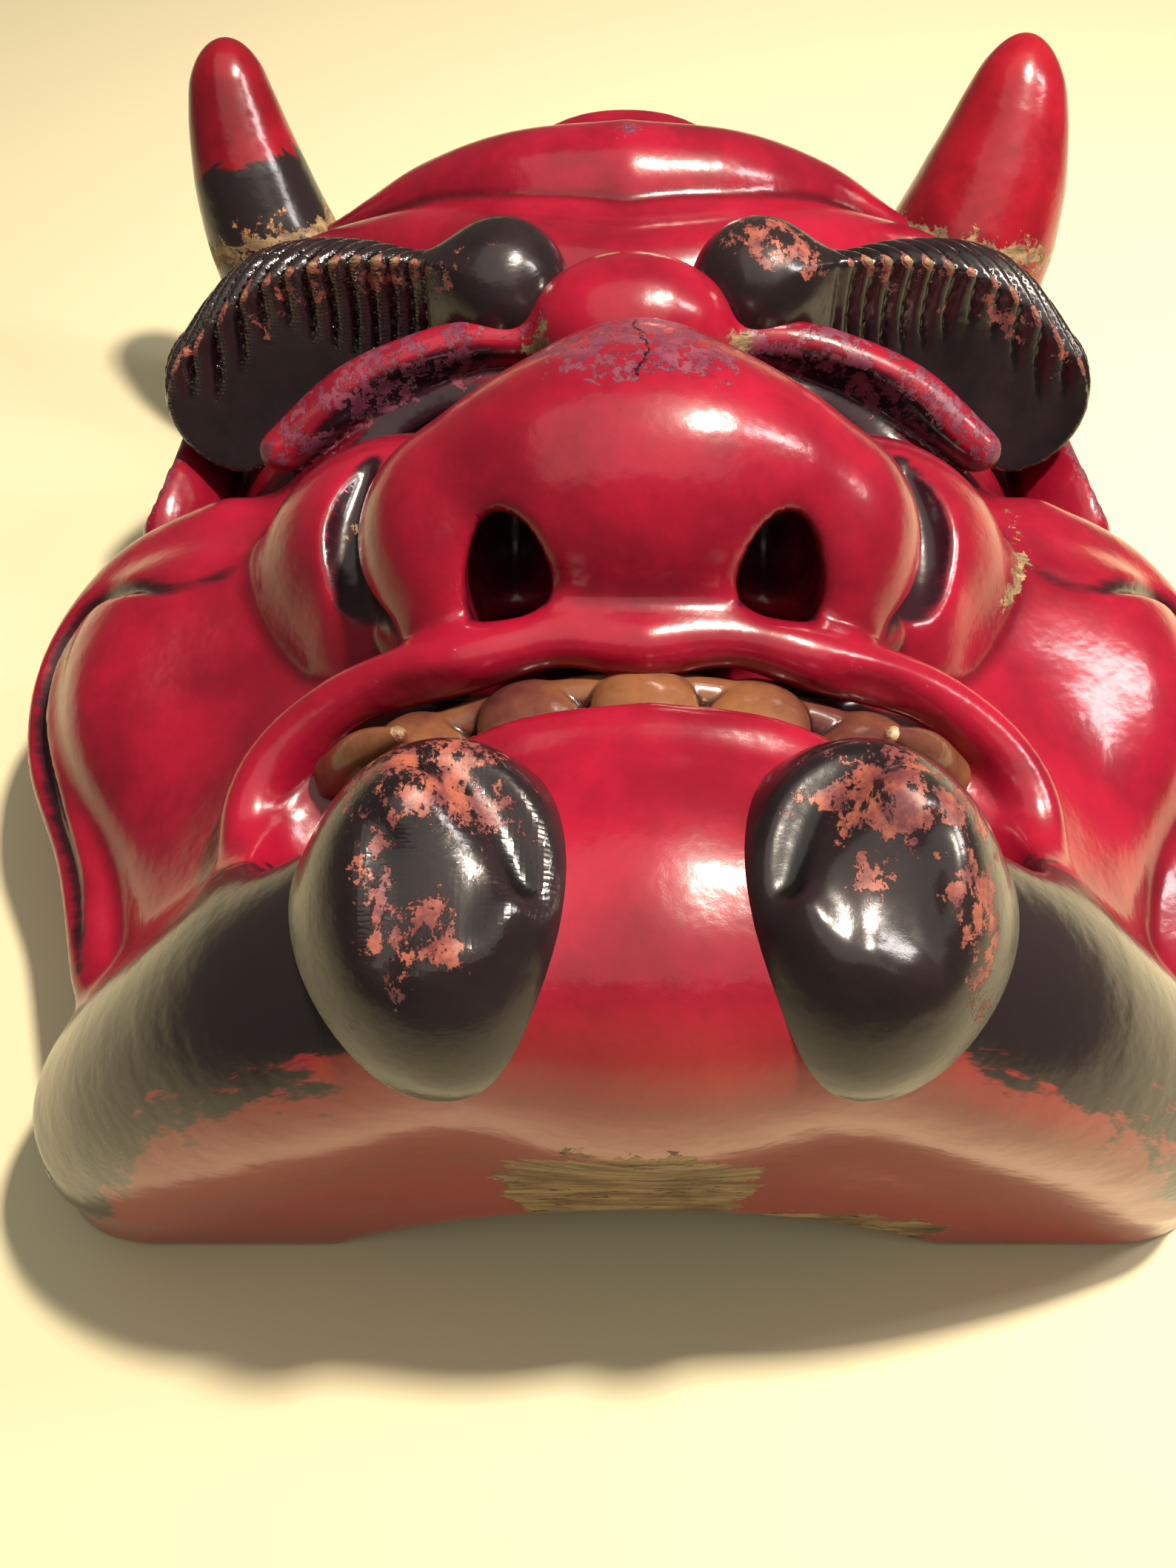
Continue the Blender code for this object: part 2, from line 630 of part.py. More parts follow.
def saw_back_flat(face):
    """Saws the back off at Z 0, and lifts the rim under the chin in a shallow arch."""
    form = bmesh.new()
    below = Matrix.Translation((0, FACE_HEIGHT / 2, -FACE_DEPTH / 2))
    sides = Matrix.Diagonal((4 * HALF_WIDTH, 2 * FACE_HEIGHT, FACE_DEPTH, 1))
    bmesh.ops.create_cube(form, size=1.0, matrix=below @ sides)
    mesh = bpy.data.meshes.new("back_saw")
    form.to_mesh(mesh)
    form.free()
    subtract(face, cutter("back_saw", mesh))

    radius = (CHIN_ARCH_HALF_SPAN**2 + CHIN_ARCH_RISE**2) / (2 * CHIN_ARCH_RISE)
    form = bmesh.new()
    across = Matrix.Translation((0, 0, CHIN_ARCH_RISE - radius)) @ Matrix.Rotation(math.pi / 2, 4, "X")
    bmesh.ops.create_cone(
        form, cap_ends=True, segments=72, radius1=radius, radius2=radius,
        depth=0.36 * FACE_HEIGHT, matrix=across,
    )
    mesh = bpy.data.meshes.new("chin_arch")
    form.to_mesh(mesh)
    form.free()
    subtract(face, cutter("chin_arch", mesh))


def drill_cord_holes(face, tufts):
    """A slot for the cord at each corner of the jaw, straight in through the tuft's tail and the wall."""
    for side, tuft in zip((-1, 1), tufts):
        spot = place(CORD_HOLE) * (side, 1, 1)
        aim = Matrix.Rotation(math.pi / 2, 4, "Y")
        shape = Matrix.Diagonal((CORD_HOLE_WIDTH, CORD_HOLE_HEIGHT, 1, 1))
        form = bmesh.new()
        bmesh.ops.create_cone(
            form, cap_ends=True, segments=16, radius1=0.5, radius2=0.5, depth=6 * WALL,
            matrix=Matrix.Translation(spot) @ aim @ shape,
        )
        name = "cord_hole_left" if side < 0 else "cord_hole_right"
        mesh = bpy.data.meshes.new(name)
        form.to_mesh(mesh)
        form.free()
        slot = cutter(name, mesh)
        subtract(face, slot)
        subtract(tuft, slot)


def stand_on_origin():
    """Moves everything so that the origin is at the middle of the underside of the whole mask."""
    bpy.context.view_layer.update()
    graph = bpy.context.evaluated_depsgraph_get()
    shown = [o for o in bpy.data.objects if not o.hide_render]
    corners = [Vector(c) for o in shown for c in o.evaluated_get(graph).bound_box]
    low = [min(c[i] for c in corners) for i in range(3)]
    high = [max(c[i] for c in corners) for i in range(3)]
    shift = Vector((-(low[0] + high[0]) / 2, -(low[1] + high[1]) / 2, -low[2]))
    for piece in bpy.data.objects:
        piece.location = shift


def build():
    for old in list(bpy.data.objects):
        bpy.data.objects.remove(old)
    red = lacquer("red_lacquer", RED_LACQUER)
    dark_red = lacquer("dark_red_lacquer", DARK_RED_LACQUER)
    black = lacquer("black_lacquer", BLACK_LACQUER)
    gilt = lacquer("old_gilt", OLD_GILT)

    face = face_shell(red)
    tufts = chin_tufts(black)
    seated = [*brows(black), *tufts, tooth_row(gilt)]
    seated += [horn(*row, dark_red) for row in HORNS]
    saw_back_flat(face)
    for piece in seated:
        seat(face, piece)
    drill_cord_holes(face, tufts)
    close_up = face.modifiers.new("Slivers", "WELD")
    close_up.merge_threshold = SHORTEST_EDGE
    stand_on_origin()


build()
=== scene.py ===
"""Looks of the carved and lacquered oni mask, lying face up as the photograph shows it from below."""

import math

import bmesh
import bpy
import numpy as np
from mathutils import Euler, Matrix, Vector


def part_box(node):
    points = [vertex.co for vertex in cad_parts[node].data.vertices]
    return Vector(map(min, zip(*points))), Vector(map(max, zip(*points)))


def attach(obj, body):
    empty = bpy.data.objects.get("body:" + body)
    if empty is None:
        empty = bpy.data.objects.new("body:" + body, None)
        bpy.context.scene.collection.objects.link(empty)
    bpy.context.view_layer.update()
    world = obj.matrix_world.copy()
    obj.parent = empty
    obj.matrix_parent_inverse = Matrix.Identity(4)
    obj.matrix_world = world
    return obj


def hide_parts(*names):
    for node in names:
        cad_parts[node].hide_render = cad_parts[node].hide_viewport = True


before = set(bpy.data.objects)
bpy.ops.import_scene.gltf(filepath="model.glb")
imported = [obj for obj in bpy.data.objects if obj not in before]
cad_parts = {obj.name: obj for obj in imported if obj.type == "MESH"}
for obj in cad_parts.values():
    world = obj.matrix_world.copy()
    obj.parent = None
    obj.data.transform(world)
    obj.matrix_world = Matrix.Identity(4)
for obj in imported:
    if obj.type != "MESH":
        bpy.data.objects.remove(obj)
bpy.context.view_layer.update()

# The view. The mask lies on its flat back on a pale floor. The camera looks at it from beyond the
# chin, close by, with a plain wide lens, and a small lamp stands high up on the right.
FACE_HEIGHT = 0.250  # chin to crown
CROWN_UP = 1.04  # top of the forehead, as a share of the face's height
CHIN_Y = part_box("face_shell")[1][1] - CROWN_UP * FACE_HEIGHT
CAMERA_SPOT = (-0.009, CHIN_Y - 0.060, 0.246)
CAMERA_DOWN_DEGREES = 55
CAMERA_LENS = 28.9
FLOOR_COLOUR = (0.74, 0.67, 0.44, 1)
ROOM_LIGHT = (1.0, 0.93, 0.78, 1)
ROOM_STRENGTH = 0.11
LIT_POINT = (0, 0, 0.05)
LAMPS = (
    # name, spot, width, height, watts, colour
    ("key", (0.24, 0.02, 0.72), 0.05, 0.05, 9.5, (1.0, 0.88, 0.72)),
    ("ceiling", (0.00, -0.20, 1.20), 1.40, 1.40, 5.0, (1.0, 0.95, 0.84)),
    ("window", (0.45, 0.02, 0.55), 0.08, 0.20, 1.4, (1.0, 0.93, 0.90)),
)
FLOOR_HALF_SIZE = 1.5
FLOOR_ROUGHNESS = 0.8


def aimed(thing, spot, at):
    """Puts a light or camera at a spot, looking at a point."""
    thing.location = spot
    thing.rotation_mode = "QUATERNION"
    thing.rotation_quaternion = (Vector(at) - Vector(spot)).to_track_quat("-Z", "Y")
    bpy.context.scene.collection.objects.link(thing)
    return thing


def softbox(name, spot, at, width, height, watts, colour):
    lamp = bpy.data.lights.new(name, "AREA")
    lamp.shape = "RECTANGLE"
    lamp.size = width
    lamp.size_y = height
    lamp.energy = watts
    lamp.color = colour
    return aimed(bpy.data.objects.new(name, lamp), spot, at)


def set_the_view():
    lens = bpy.data.cameras.new("camera")
    lens.lens = CAMERA_LENS
    lens.clip_start = 0.01
    down = math.radians(CAMERA_DOWN_DEGREES)
    ahead = Vector((0, math.cos(down), -math.sin(down)))
    camera = aimed(bpy.data.objects.new("camera", lens), CAMERA_SPOT, Vector(CAMERA_SPOT) + ahead)
    bpy.context.scene.camera = camera
    bpy.context.scene.view_settings.view_transform = "Standard"

    world = bpy.data.worlds.new("room")
    world.use_nodes = True
    world.node_tree.nodes["Background"].inputs["Color"].default_value = ROOM_LIGHT
    world.node_tree.nodes["Background"].inputs["Strength"].default_value = ROOM_STRENGTH
    bpy.context.scene.world = world

    for name, spot, width, height, watts, colour in LAMPS:
        softbox(name, spot, LIT_POINT, width, height, watts, colour)

    sheet = bmesh.new()
    bmesh.ops.create_grid(sheet, x_segments=8, y_segments=8, size=FLOOR_HALF_SIZE)
    mesh = bpy.data.meshes.new("floor")
    sheet.to_mesh(mesh)
    sheet.free()
    paint = bpy.data.materials.new("floor_paint")
    paint.use_nodes = True
    shader = paint.node_tree.nodes["Principled BSDF"]
    shader.inputs["Base Color"].default_value = FLOOR_COLOUR
    shader.inputs["Roughness"].default_value = FLOOR_ROUGHNESS
    mesh.materials.append(paint)
    floor = bpy.data.objects.new("floor", mesh)
    bpy.context.scene.collection.objects.link(floor)


set_the_view()

# The face. One block of wood, carved with round gouges into folds, knob, nose, cheeks, jowls, lips
# and chin. In front it has red lacquer over a brown ground, rubbed through on edges and knobs.
# Behind, it is hollowed with a gouge to about 9 mm and left bare.
HALF_WIDTH = 0.120  # centre line to the outermost point of a jowl
FACE_DEPTH = 0.125  # back rim to the tip of the nose
WALL = 0.009
PAINT_REACH = 0.0065  # how far in from the front the lacquer goes at the rim and the holes
FACE_STEP = 0.0012
# rows of forms hold shares: across of HALF_WIDTH, up of FACE_HEIGHT, out and radii of FACE_DEPTH
HEAD_SECTIONS = (
    # up, half width, crown, squareness
    (-0.06, 0.90, 0.74, 1.75),
    (0.04, 0.92, 0.77, 1.75),
    (0.12, 0.92, 0.76, 1.75),
    (0.20, 0.89, 0.70, 1.90),
    (0.29, 0.92, 0.61, 2.50),
    (0.38, 0.98, 0.57, 3.00),
    (0.47, 1.00, 0.56, 3.10),
    (0.55, 0.93, 0.58, 2.70),
    (0.62, 0.84, 0.62, 2.40),
    (0.72, 0.82, 0.67, 2.30),
    (0.82, 0.82, 0.70, 2.40),
    (0.92, 0.78, 0.72, 2.40),
    (1.00, 0.72, 0.68, 2.40),
    (1.08, 0.64, 0.62, 2.30),
)
CHIN_BOTTOM_UP = 0.020
CHIN_BOTTOM_BLEND = 0.16
CROWN_BLEND = 0.45
# centre (across, up, out), half sizes (across, up, out), turn in degrees about X Y Z, blend
FACE_LUMPS = {
    "chin": ((0.00, 0.138, 0.56), (0.34, 0.138, 0.27), (0, 0, 0), 0.10),
    "nose": ((0.00, 0.420, 0.685), (0.385, 0.106, 0.290), (0, 0, 0), 0.08),
    "nose_top": ((0.00, 0.490, 0.680), (0.190, 0.105, 0.225), (0, 0, 0), 0.14),
    "nose_wing": ((0.290, 0.400, 0.65), (0.125, 0.084, 0.20), (0, 0, -12), 0.05),
    "bridge": ((0.00, 0.675, 0.67), (0.185, 0.064, 0.13), (0, 0, 0), 0.025),
    "cheek": ((0.355, 0.462, 0.50), (0.265, 0.140, 0.215), (0, 0, -12), 0.010),
    "jowl": ((0.74, 0.440, 0.32), (0.22, 0.130, 0.16), (0, 0, 0), 0.16),
    "forehead_cap": ((0.01, 0.975, 0.602), (0.22, 0.034, 0.134), (0, 0, 0), 0.006),
    "ear": ((0.86, 0.690, 0.26), (0.075, 0.100, 0.14), (0, 20, 8), 0.03),
}
# rows of (across, up, out, radius), then the blend
FACE_RIDGES = {
    "forehead_band": (
        ((0.00, 0.775, 0.630, 0.092), (0.20, 0.795, 0.625, 0.092), (0.38, 0.845, 0.585, 0.086),
         (0.54, 0.890, 0.525, 0.075), (0.68, 0.920, 0.46, 0.062)),
        0.04,
    ),
    "forehead_lens": (
        ((0.00, 0.908, 0.640, 0.134), (0.20, 0.918, 0.628, 0.118), (0.36, 0.938, 0.590, 0.088),
         (0.50, 0.960, 0.535, 0.055), (0.62, 0.978, 0.480, 0.030)),
        0.004,
    ),
    "upper_eyelid": (
        ((0.15, 0.664, 0.665, 0.026), (0.27, 0.668, 0.665, 0.036), (0.38, 0.660, 0.640, 0.042),
         (0.50, 0.642, 0.600, 0.044), (0.62, 0.606, 0.540, 0.036)),
        0.03,
    ),
    "jowl_edge": (
        ((0.72, 0.560, 0.44, 0.05), (0.89, 0.540, 0.36, 0.06), (0.99, 0.475, 0.29, 0.065),
         (0.985, 0.385, 0.27, 0.06), (0.90, 0.285, 0.26, 0.05), (0.84, 0.190, 0.25, 0.045)),
        0.06,
    ),
}
# laid on after FACE_SCOOPS are cut, so that the lips run on unbroken
LIP_RIDGES = {
    "upper_lip": (
        ((0.00, 0.298, 0.740, 0.042), (0.12, 0.306, 0.735, 0.036), (0.24, 0.296, 0.715, 0.042),
         (0.40, 0.292, 0.655, 0.038), (0.51, 0.262, 0.60, 0.038), (0.545, 0.215, 0.565, 0.038),
         (0.50, 0.150, 0.56, 0.036)),
        0.05,
    ),
    "lower_lip": (
        ((0.00, 0.216, 0.785, 0.026), (0.16, 0.212, 0.765, 0.026), (0.28, 0.200, 0.71, 0.024)),
        0.05,
    ),
}
FACE_SCOOPS = {
    "smile_valley": ((0.76, 0.290, 0.76), (0.17, 0.170, 0.27), (0, 0, 14), 0.16),
    "crown_shoulder": ((0.56, 1.075, 0.62), (0.20, 0.070, 0.22), (0, 0, 0), 0.12),
    "cheek_valley": ((0.64, 0.362, 0.78), (0.15, 0.050, 0.22), (0, 0, -20), 0.10),
    "ear_bowl": ((0.925, 0.690, 0.36), (0.040, 0.062, 0.10), (0, 20, 8), 0.02),
    "nostril": ((0.182, 0.338, 0.757), (0.060, 0.088, 0.102), (0, 0, 0), 0.015),
}
FACE_GOUGES = {
    "cheek_gap": (
        ((0.415, 0.500, 0.70, 0.012), (0.438, 0.440, 0.69, 0.034), (0.422, 0.385, 0.67, 0.036),
         (0.360, 0.335, 0.69, 0.014)),
        0.01,
    ),
    "jowl_line": (
        ((0.62, 0.505, 0.56, 0.008), (0.68, 0.470, 0.54, 0.018), (0.76, 0.460, 0.525, 0.017),
         (0.85, 0.478, 0.48, 0.017), (0.95, 0.494, 0.40, 0.020), (1.015, 0.462, 0.34, 0.020),
         (1.020, 0.400, 0.32, 0.018), (0.965, 0.320, 0.31, 0.018), (0.90, 0.250, 0.30, 0.016),
         (0.865, 0.180, 0.29, 0.010)),
        0.01,
    ),
    "eye": (
        ((0.17, 0.628, 0.675, 0.030), (0.28, 0.622, 0.655, 0.056), (0.42, 0.604, 0.610, 0.066),
         (0.56, 0.570, 0.550, 0.044)),
        0.006,
    ),
    "eye_socket": (
        ((0.24, 0.605, 0.60, 0.050), (0.36, 0.610, 0.50, 0.060), (0.48, 0.600, 0.44, 0.050)),
        0.02,
    ),
    "nostril_passage": (((0.178, 0.350, 0.72, 0.042), (0.165, 0.352, 0.50, 0.042)), 0.015),
    "mouth": (
        ((0.00, 0.258, 0.79, 0.036), (0.20, 0.256, 0.76, 0.042), (0.35, 0.246, 0.71, 0.074),
         (0.415, 0.210, 0.66, 0.100), (0.400, 0.160, 0.63, 0.090)),
        0.006,
    ),
    "mouth_depth": (
        ((0.00, 0.254, 0.66, 0.054), (0.24, 0.250, 0.60, 0.056), (0.36, 0.240, 0.52, 0.054)),
        0.02,
    ),
}
CHIN_ARCH_RISE = 0.021
CHIN_ARCH_HALF_SPAN = 0.055
CHIN_ARCH_REACH_UP = 0.18
CHIN_ARCH_BLEND = 0.003
RIM_BLEND = 0.0015
TUFT_TAIL = (
    (0.27, 0.105, 0.660, 0.140),
    (0.44, 0.098, 0.530, 0.150),
    (0.61, 0.093, 0.375, 0.145),
    (0.75, 0.096, 0.215, 0.135),
)
# painted reflection of the warm floor: below this height, as a share of FACE_HEIGHT, the red turns a paler
# salmon
BOUNCE_LIT_UP = 0.020
TAIL_SWELL = (0.022, 0.022, 0.004, -0.006)
CORD_HOLE = (0.840, 0.064, 0.22)
CORD_HOLE_HALF_UP = 0.0060
CORD_HOLE_HALF_OUT = 0.0035
CORD_HOLE_DEPTH = 0.03
FRONT_DEPTH = 0.0045  # wood nearer to the outer form than this belongs to the front piece
LID_WORN_ROUND = 0.004
LIP_KEPT_RED = 0.001
RED_BRIGHT = (0.33, 0.007, 0.028, 1)
RED_DARK = (0.17, 0.004, 0.015, 1)
RED_GROUNDS = ((0.12, 0.020, 0.048, 1), (0.20, 0.040, 0.068, 1))
# the black of the tufts runs on over the jaw; dark paint lies in the jowl lines, and painted shade darkens
# the eyes, the mouth, the cheek gaps and the nostrils
TAIL_PAINT = (
    (0.27, 0.105, 0.71, 0.160),
    (0.42, 0.100, 0.63, 0.165),
    (0.60, 0.088, 0.46, 0.145),
    (0.76, 0.084, 0.300, 0.145),
    (0.92, 0.085, 0.16, 0.160),
)
# how far past each of these cuts the dark mark reaches: painted shade in all but the jowl line, where it is
# dark paint
SHADED_AND_PAINTED_CUTS = {"cheek_gap": 0.006, "jowl_line": 0.003, "eye": 0.012, "eye_socket": 0.03, "mouth_depth": 0.03}
BLACK_PAINT = (0.018, 0.012, 0.014, 1)
# colour of the painted shade in the cuts and of the dark paint in the jowl lines
SHADE_AND_DARK_PAINT = (0.020, 0.005, 0.009, 1)
# the salmon red of the painted floor reflection low on the chin
BOUNCE_LIT_RED = (0.36, 0.045, 0.036, 1)
WOOD_PALE = (0.40, 0.27, 0.13, 1)
WOOD_DARK = (0.13, 0.080, 0.040, 1)
CRACK_HALF_WIDTH = 0.00014


def place(shares):
    """The point that a row of shares stands for, before the chin is moved to its place."""
    across, up, out = shares[:3]
    return np.array((across * HALF_WIDTH, up * FACE_HEIGHT, out * FACE_DEPTH))


def deep(share):
    return share * FACE_DEPTH


def soft_min(a, b, blend):
    """The lower of two distances, rounded over where they are within blend of each other."""
    if blend <= 0:
        return np.minimum(a, b)
    near = np.maximum(blend - np.abs(a - b), 0) / blend
    return np.minimum(a, b) - near * near * blend * 0.25


def smooth_line(stops, spans):
    """Points on a Catmull-Rom curve through the stops, spans of them between each two."""
    ends = [2 * stops[0] - stops[1], *stops, 2 * stops[-1] - stops[-2]]
    line = []
    for a, b, c, d in zip(ends, ends[1:], ends[2:], ends[3:]):
        for k in range(spans):
            t = k / spans
            line.append(
                0.5 * (2 * b + (c - a) * t + (2 * a - 5 * b + 4 * c - d) * t**2
                       + (3 * b - a - 3 * c + d) * t**3)
            )
    return [*line, stops[-1]]


class Lump:
    """An ellipsoid."""

    def __init__(self, centre, half_sizes, turn=(0, 0, 0)):
        self.centre = place(centre)
        self.half_sizes = place(half_sizes)
        self.to_own = np.array(Euler([math.radians(a) for a in turn]).to_matrix()).T
        reach = self.half_sizes.max()
        self.low, self.high = self.centre - reach, self.centre + reach

    def distance(self, x, y, z):
        offset = (x - self.centre[0], y - self.centre[1], z - self.centre[2])
        own = [sum(row[i] * offset[i] for i in range(3)) for row in self.to_own]
        scaled = np.sqrt(sum((p / s) ** 2 for p, s in zip(own, self.half_sizes)))
        slope = np.sqrt(sum((p / s**2) ** 2 for p, s in zip(own, self.half_sizes)))
        return scaled * (scaled - 1) / np.maximum(slope, 1e-6)


class Ridge:
    """A round bar of changing radius along a smooth line through its rows."""

    def __init__(self, rows, spans=8):
        stops = [np.append(place(row), deep(row[3])) for row in rows]
        self.stops = smooth_line(stops, spans)
        reach = max(stop[3] for stop in stops)
        line = np.array(self.stops)[:, :3]
        self.low, self.high = line.min(axis=0) - reach, line.max(axis=0) + reach

    def distance(self, x, y, z):
        nearest = np.inf
        for start, end in zip(self.stops, self.stops[1:]):
            run = end[:3] - start[:3]
            offset = (x - start[0], y - start[1], z - start[2])
            along = sum(offset[i] * run[i] for i in range(3)) / (run @ run)
            along = np.clip(along, 0, 1)
            away = np.sqrt(sum((offset[i] - along * run[i]) ** 2 for i in range(3)))
            nearest = np.minimum(nearest, away - start[3] - along * (end[3] - start[3]))
        return nearest


class Block:
    """A block of wood, sampled on a grid: each sample is its distance to the surface, below 0 in wood."""

    def __init__(self, low, high, step):
        self.low, self.step = np.array(low, float), step
        counts = [int(math.ceil((b - a) / step)) + 1 for a, b in zip(low, high)]
        lines = [a + step * np.arange(n) for a, n in zip(low, counts)]
        self.axes = np.meshgrid(*[line.astype(np.float32) for line in lines], indexing="ij", sparse=True)
        self.wood = np.full(counts, 1.0, np.float32)

    def around(self, form, margin):
        """The samples near a form, as slices of the grid and their coordinates."""
        first = np.floor((form.low - margin - self.low) / self.step).astype(int)
        last = np.ceil((form.high + margin - self.low) / self.step).astype(int) + 1
        part = tuple(
            slice(max(0, a), max(0, min(n, b))) for a, b, n in zip(first, last, self.wood.shape)
        )
        whole = (slice(None),) * 3
        axes = [line[(*whole[:i], part[i], *whole[i + 1 :])] for i, line in enumerate(self.axes)]
        return part, axes

    def add(self, form, blend=0.0):
        part, axes = self.around(form, blend + self.step)
        if self.wood[part].size:
            self.wood[part] = soft_min(self.wood[part], form.distance(*axes), blend)

    def cut(self, form, blend=0.0):
        part, axes = self.around(form, blend + self.step)
        if self.wood[part].size:
            self.wood[part] = -soft_min(-self.wood[part], form.distance(*axes), blend)

    def keep_below(self, distance, blend=0.0):
        """Keeps the wood only where the given distance is below 0."""
        self.wood = -soft_min(-self.wood, -distance, blend)

    def true_distances(self):
        """Rescales the samples to real distances near the surface."""
        slopes = np.gradient(self.wood, self.step)
        self.wood = self.wood / np.maximum(np.sqrt(sum(s * s for s in slopes)), 0.2)

    def mirrored(self):
        """The whole block, from one that holds the half from X 0 on."""
        whole = Block(self.low, self.low, self.step)
        whole.low[0] = -(self.wood.shape[0] - 1) * self.step
        whole.wood = np.concatenate([self.wood[:0:-1], self.wood])
        lines = [whole.low[i] + self.step * np.arange(n) for i, n in enumerate(whole.wood.shape)]
        whole.axes = np.meshgrid(*[line.astype(np.float32) for line in lines], indexing="ij", sparse=True)
        return whole


def softened(field, passes):
    """The samples averaged with their neighbours, which rounds small forms away."""
    for _ in range(passes):
        for axis in range(3):
            grown = np.pad(field, [(1, 1) if i == axis else (0, 0) for i in range(3)], mode="edge")
            before = np.take(grown, range(0, field.shape[axis]), axis=axis)
            after = np.take(grown, range(2, field.shape[axis] + 2), axis=axis)
            field = (before + 2 * field + after) / 4
    return field


def read_at(field, low, step, points):
    """A sampled field's values at points, from the eight samples round each."""
    cell = (points - low) / step
    first = np.clip(np.floor(cell).astype(int), 0, np.array(field.shape) - 2)
    share = np.clip(cell - first, 0, 1)
    total = 0
    for corner in np.ndindex(2, 2, 2):
        weight = np.prod(np.where(corner, share, 1 - share), axis=1)
        total = total + weight * field[tuple((first + corner).T)]
    return total


def skin(block):
    """The surface of the sampled wood: a point in each cell that it passes through, joined by quads."""
    wood = block.wood
    inside = wood < 0
    size = [n - 1 for n in wood.shape]
    filled = sum(
        inside[i : i + size[0], j : j + size[1], k : k + size[2]].astype(np.int8)
        for i, j, k in np.ndindex(2, 2, 2)
    )
    crossed = (filled > 0) & (filled < 8)
    cells = np.argwhere(crossed)
    number = np.full(crossed.shape, -1)
    number[crossed] = np.arange(len(cells))
    total, count = np.zeros((len(cells), 3)), np.zeros(len(cells))
    for corner in np.ndindex(2, 2, 2):
        for axis in range(3):
            if corner[axis]:
                continue
            other = tuple(c + (axis == i) for i, c in enumerate(corner))
            start = wood[tuple((cells + corner).T)]
            end = wood[tuple((cells + other).T)]
            through = (start < 0) != (end < 0)
            share = np.where(through, start / np.where(through, start - end, 1), 0)
            spot = np.array(corner) + share[:, None] * np.eye(3)[axis]
            total += np.where(through[:, None], spot, 0)
            count += through
    points = block.low + (cells + total / count[:, None]) * block.step
    quads = []
    for axis in range(3):
        ahead = np.roll(inside, -1, axis)
        edges = np.argwhere(inside != ahead)
        edges = edges[(edges[:, axis] < wood.shape[axis] - 1)]
        u, v = np.eye(3, dtype=int)[[(axis + 1) % 3, (axis + 2) % 3]]
        edges = edges[((edges - u - v)[:, [i for i in range(3) if i != axis]] >= 0).all(axis=1)]
        edges = edges[(edges < np.array(crossed.shape)).all(axis=1)]
        ring = [number[tuple((edges - s).T)] for s in (u + v, v, 0 * u, u)]
        quad = np.stack(ring, axis=1)
        quads.append(np.where(inside[tuple(edges.T)][:, None], quad, quad[:, ::-1]))
    return points, np.concatenate(quads)


def carving(name, block, points, quads, marks, material):
    """An object of part of a block's skin, shaded by the field, with a value per mark on its points."""
    used, quads = np.unique(quads, return_inverse=True)
    points = points[used]
    mesh = bpy.data.meshes.new(name)
    shift = np.array((0, CHIN_Y, 0))
    mesh.from_pydata((points + shift).tolist(), [], quads.reshape(-1, 4).tolist())
    slopes = [read_at(s, block.low, block.step, points) for s in np.gradient(block.wood, block.step)]
    normals = np.stack(slopes, axis=1)
    normals /= np.maximum(np.linalg.norm(normals, axis=1), 1e-9)[:, None]
    mesh.normals_split_custom_set_from_vertices(normals.tolist())
    for mark, values in marks.items():
        layer = mesh.attributes.new(mark, "FLOAT", "POINT")
        layer.data.foreach_set("value", values[used].astype(np.float32))
    mesh.materials.append(material)
    piece = bpy.data.objects.new(name, mesh)
    bpy.context.scene.collection.objects.link(piece)
    return piece


def turn_of(block, points, passes):
    """How much a surface bulges at points: above 0 on an edge or a ridge, below 0 in a valley."""
    return read_at(softened(block.wood, passes) - block.wood, block.low, block.step, points) / block.step


def node(tree, kind, settings=None, **inputs):
    """A shader node with its inputs set or linked, by name with _ for a space."""
    made = tree.nodes.new(kind)
    for name, value in (settings or {}).items():
        setattr(made, name, value)
    for name, value in inputs.items():
        key = int(name[1:]) if name[1:].isdigit() else name.replace("_", " ")
        socket = made.inputs[key]
        if isinstance(value, bpy.types.NodeSocket):
            tree.links.new(value, socket)
        else:
            socket.default_value = value
    return made


def calc(tree, operation, *values):
    sockets = {f"_{i}": value for i, value in enumerate(values)}
    return node(tree, "ShaderNodeMath", {"operation": operation}, **sockets).outputs[0]


def ramp(tree, value, low, high):
    """0 where the value is at low, 1 where it is at high, smooth between."""
    made = node(
        tree, "ShaderNodeMapRange", {"interpolation_type": "SMOOTHSTEP"},
        Value=value, From_Min=low, From_Max=high,
    )
    return made.outputs["Result"]


def mixed(tree, share, a, b):
    made = node(tree, "ShaderNodeMix", {"data_type": "RGBA"}, _0=share, _6=a, _7=b)
    return made.outputs[2]


def noise(tree, scale, detail=4.0, roughness=0.6, stretch=(1, 1, 1)):
    """Noise on the object's own coordinates, so many waves to a metre."""
    spot = node(tree, "ShaderNodeTexCoord").outputs["Object"]
    moved = node(tree, "ShaderNodeMapping", Vector=spot, Scale=stretch).outputs[0]
    made = node(tree, "ShaderNodeTexNoise", Vector=moved, Scale=scale, Detail=detail, Roughness=roughness)
    return made.outputs["Fac"]


def mark(tree, name):
    return node(tree, "ShaderNodeAttribute", {"attribute_name": name}).outputs["Fac"]


def group_of(name, inputs, outputs):
    """An empty node group with float or colour sockets of the given names."""
    group = bpy.data.node_groups.new(name, "ShaderNodeTree")
    for kind, sockets in (("INPUT", inputs), ("OUTPUT", outputs)):
        for socket, value in sockets.items():
            colour = isinstance(value, tuple)
            made = group.interface.new_socket(
                name=socket, in_out=kind, socket_type="NodeSocketColor" if colour else "NodeSocketFloat"
            )
            made.default_value = value
    return group, node(group, "NodeGroupInput").outputs, node(group, "NodeGroupOutput").inputs


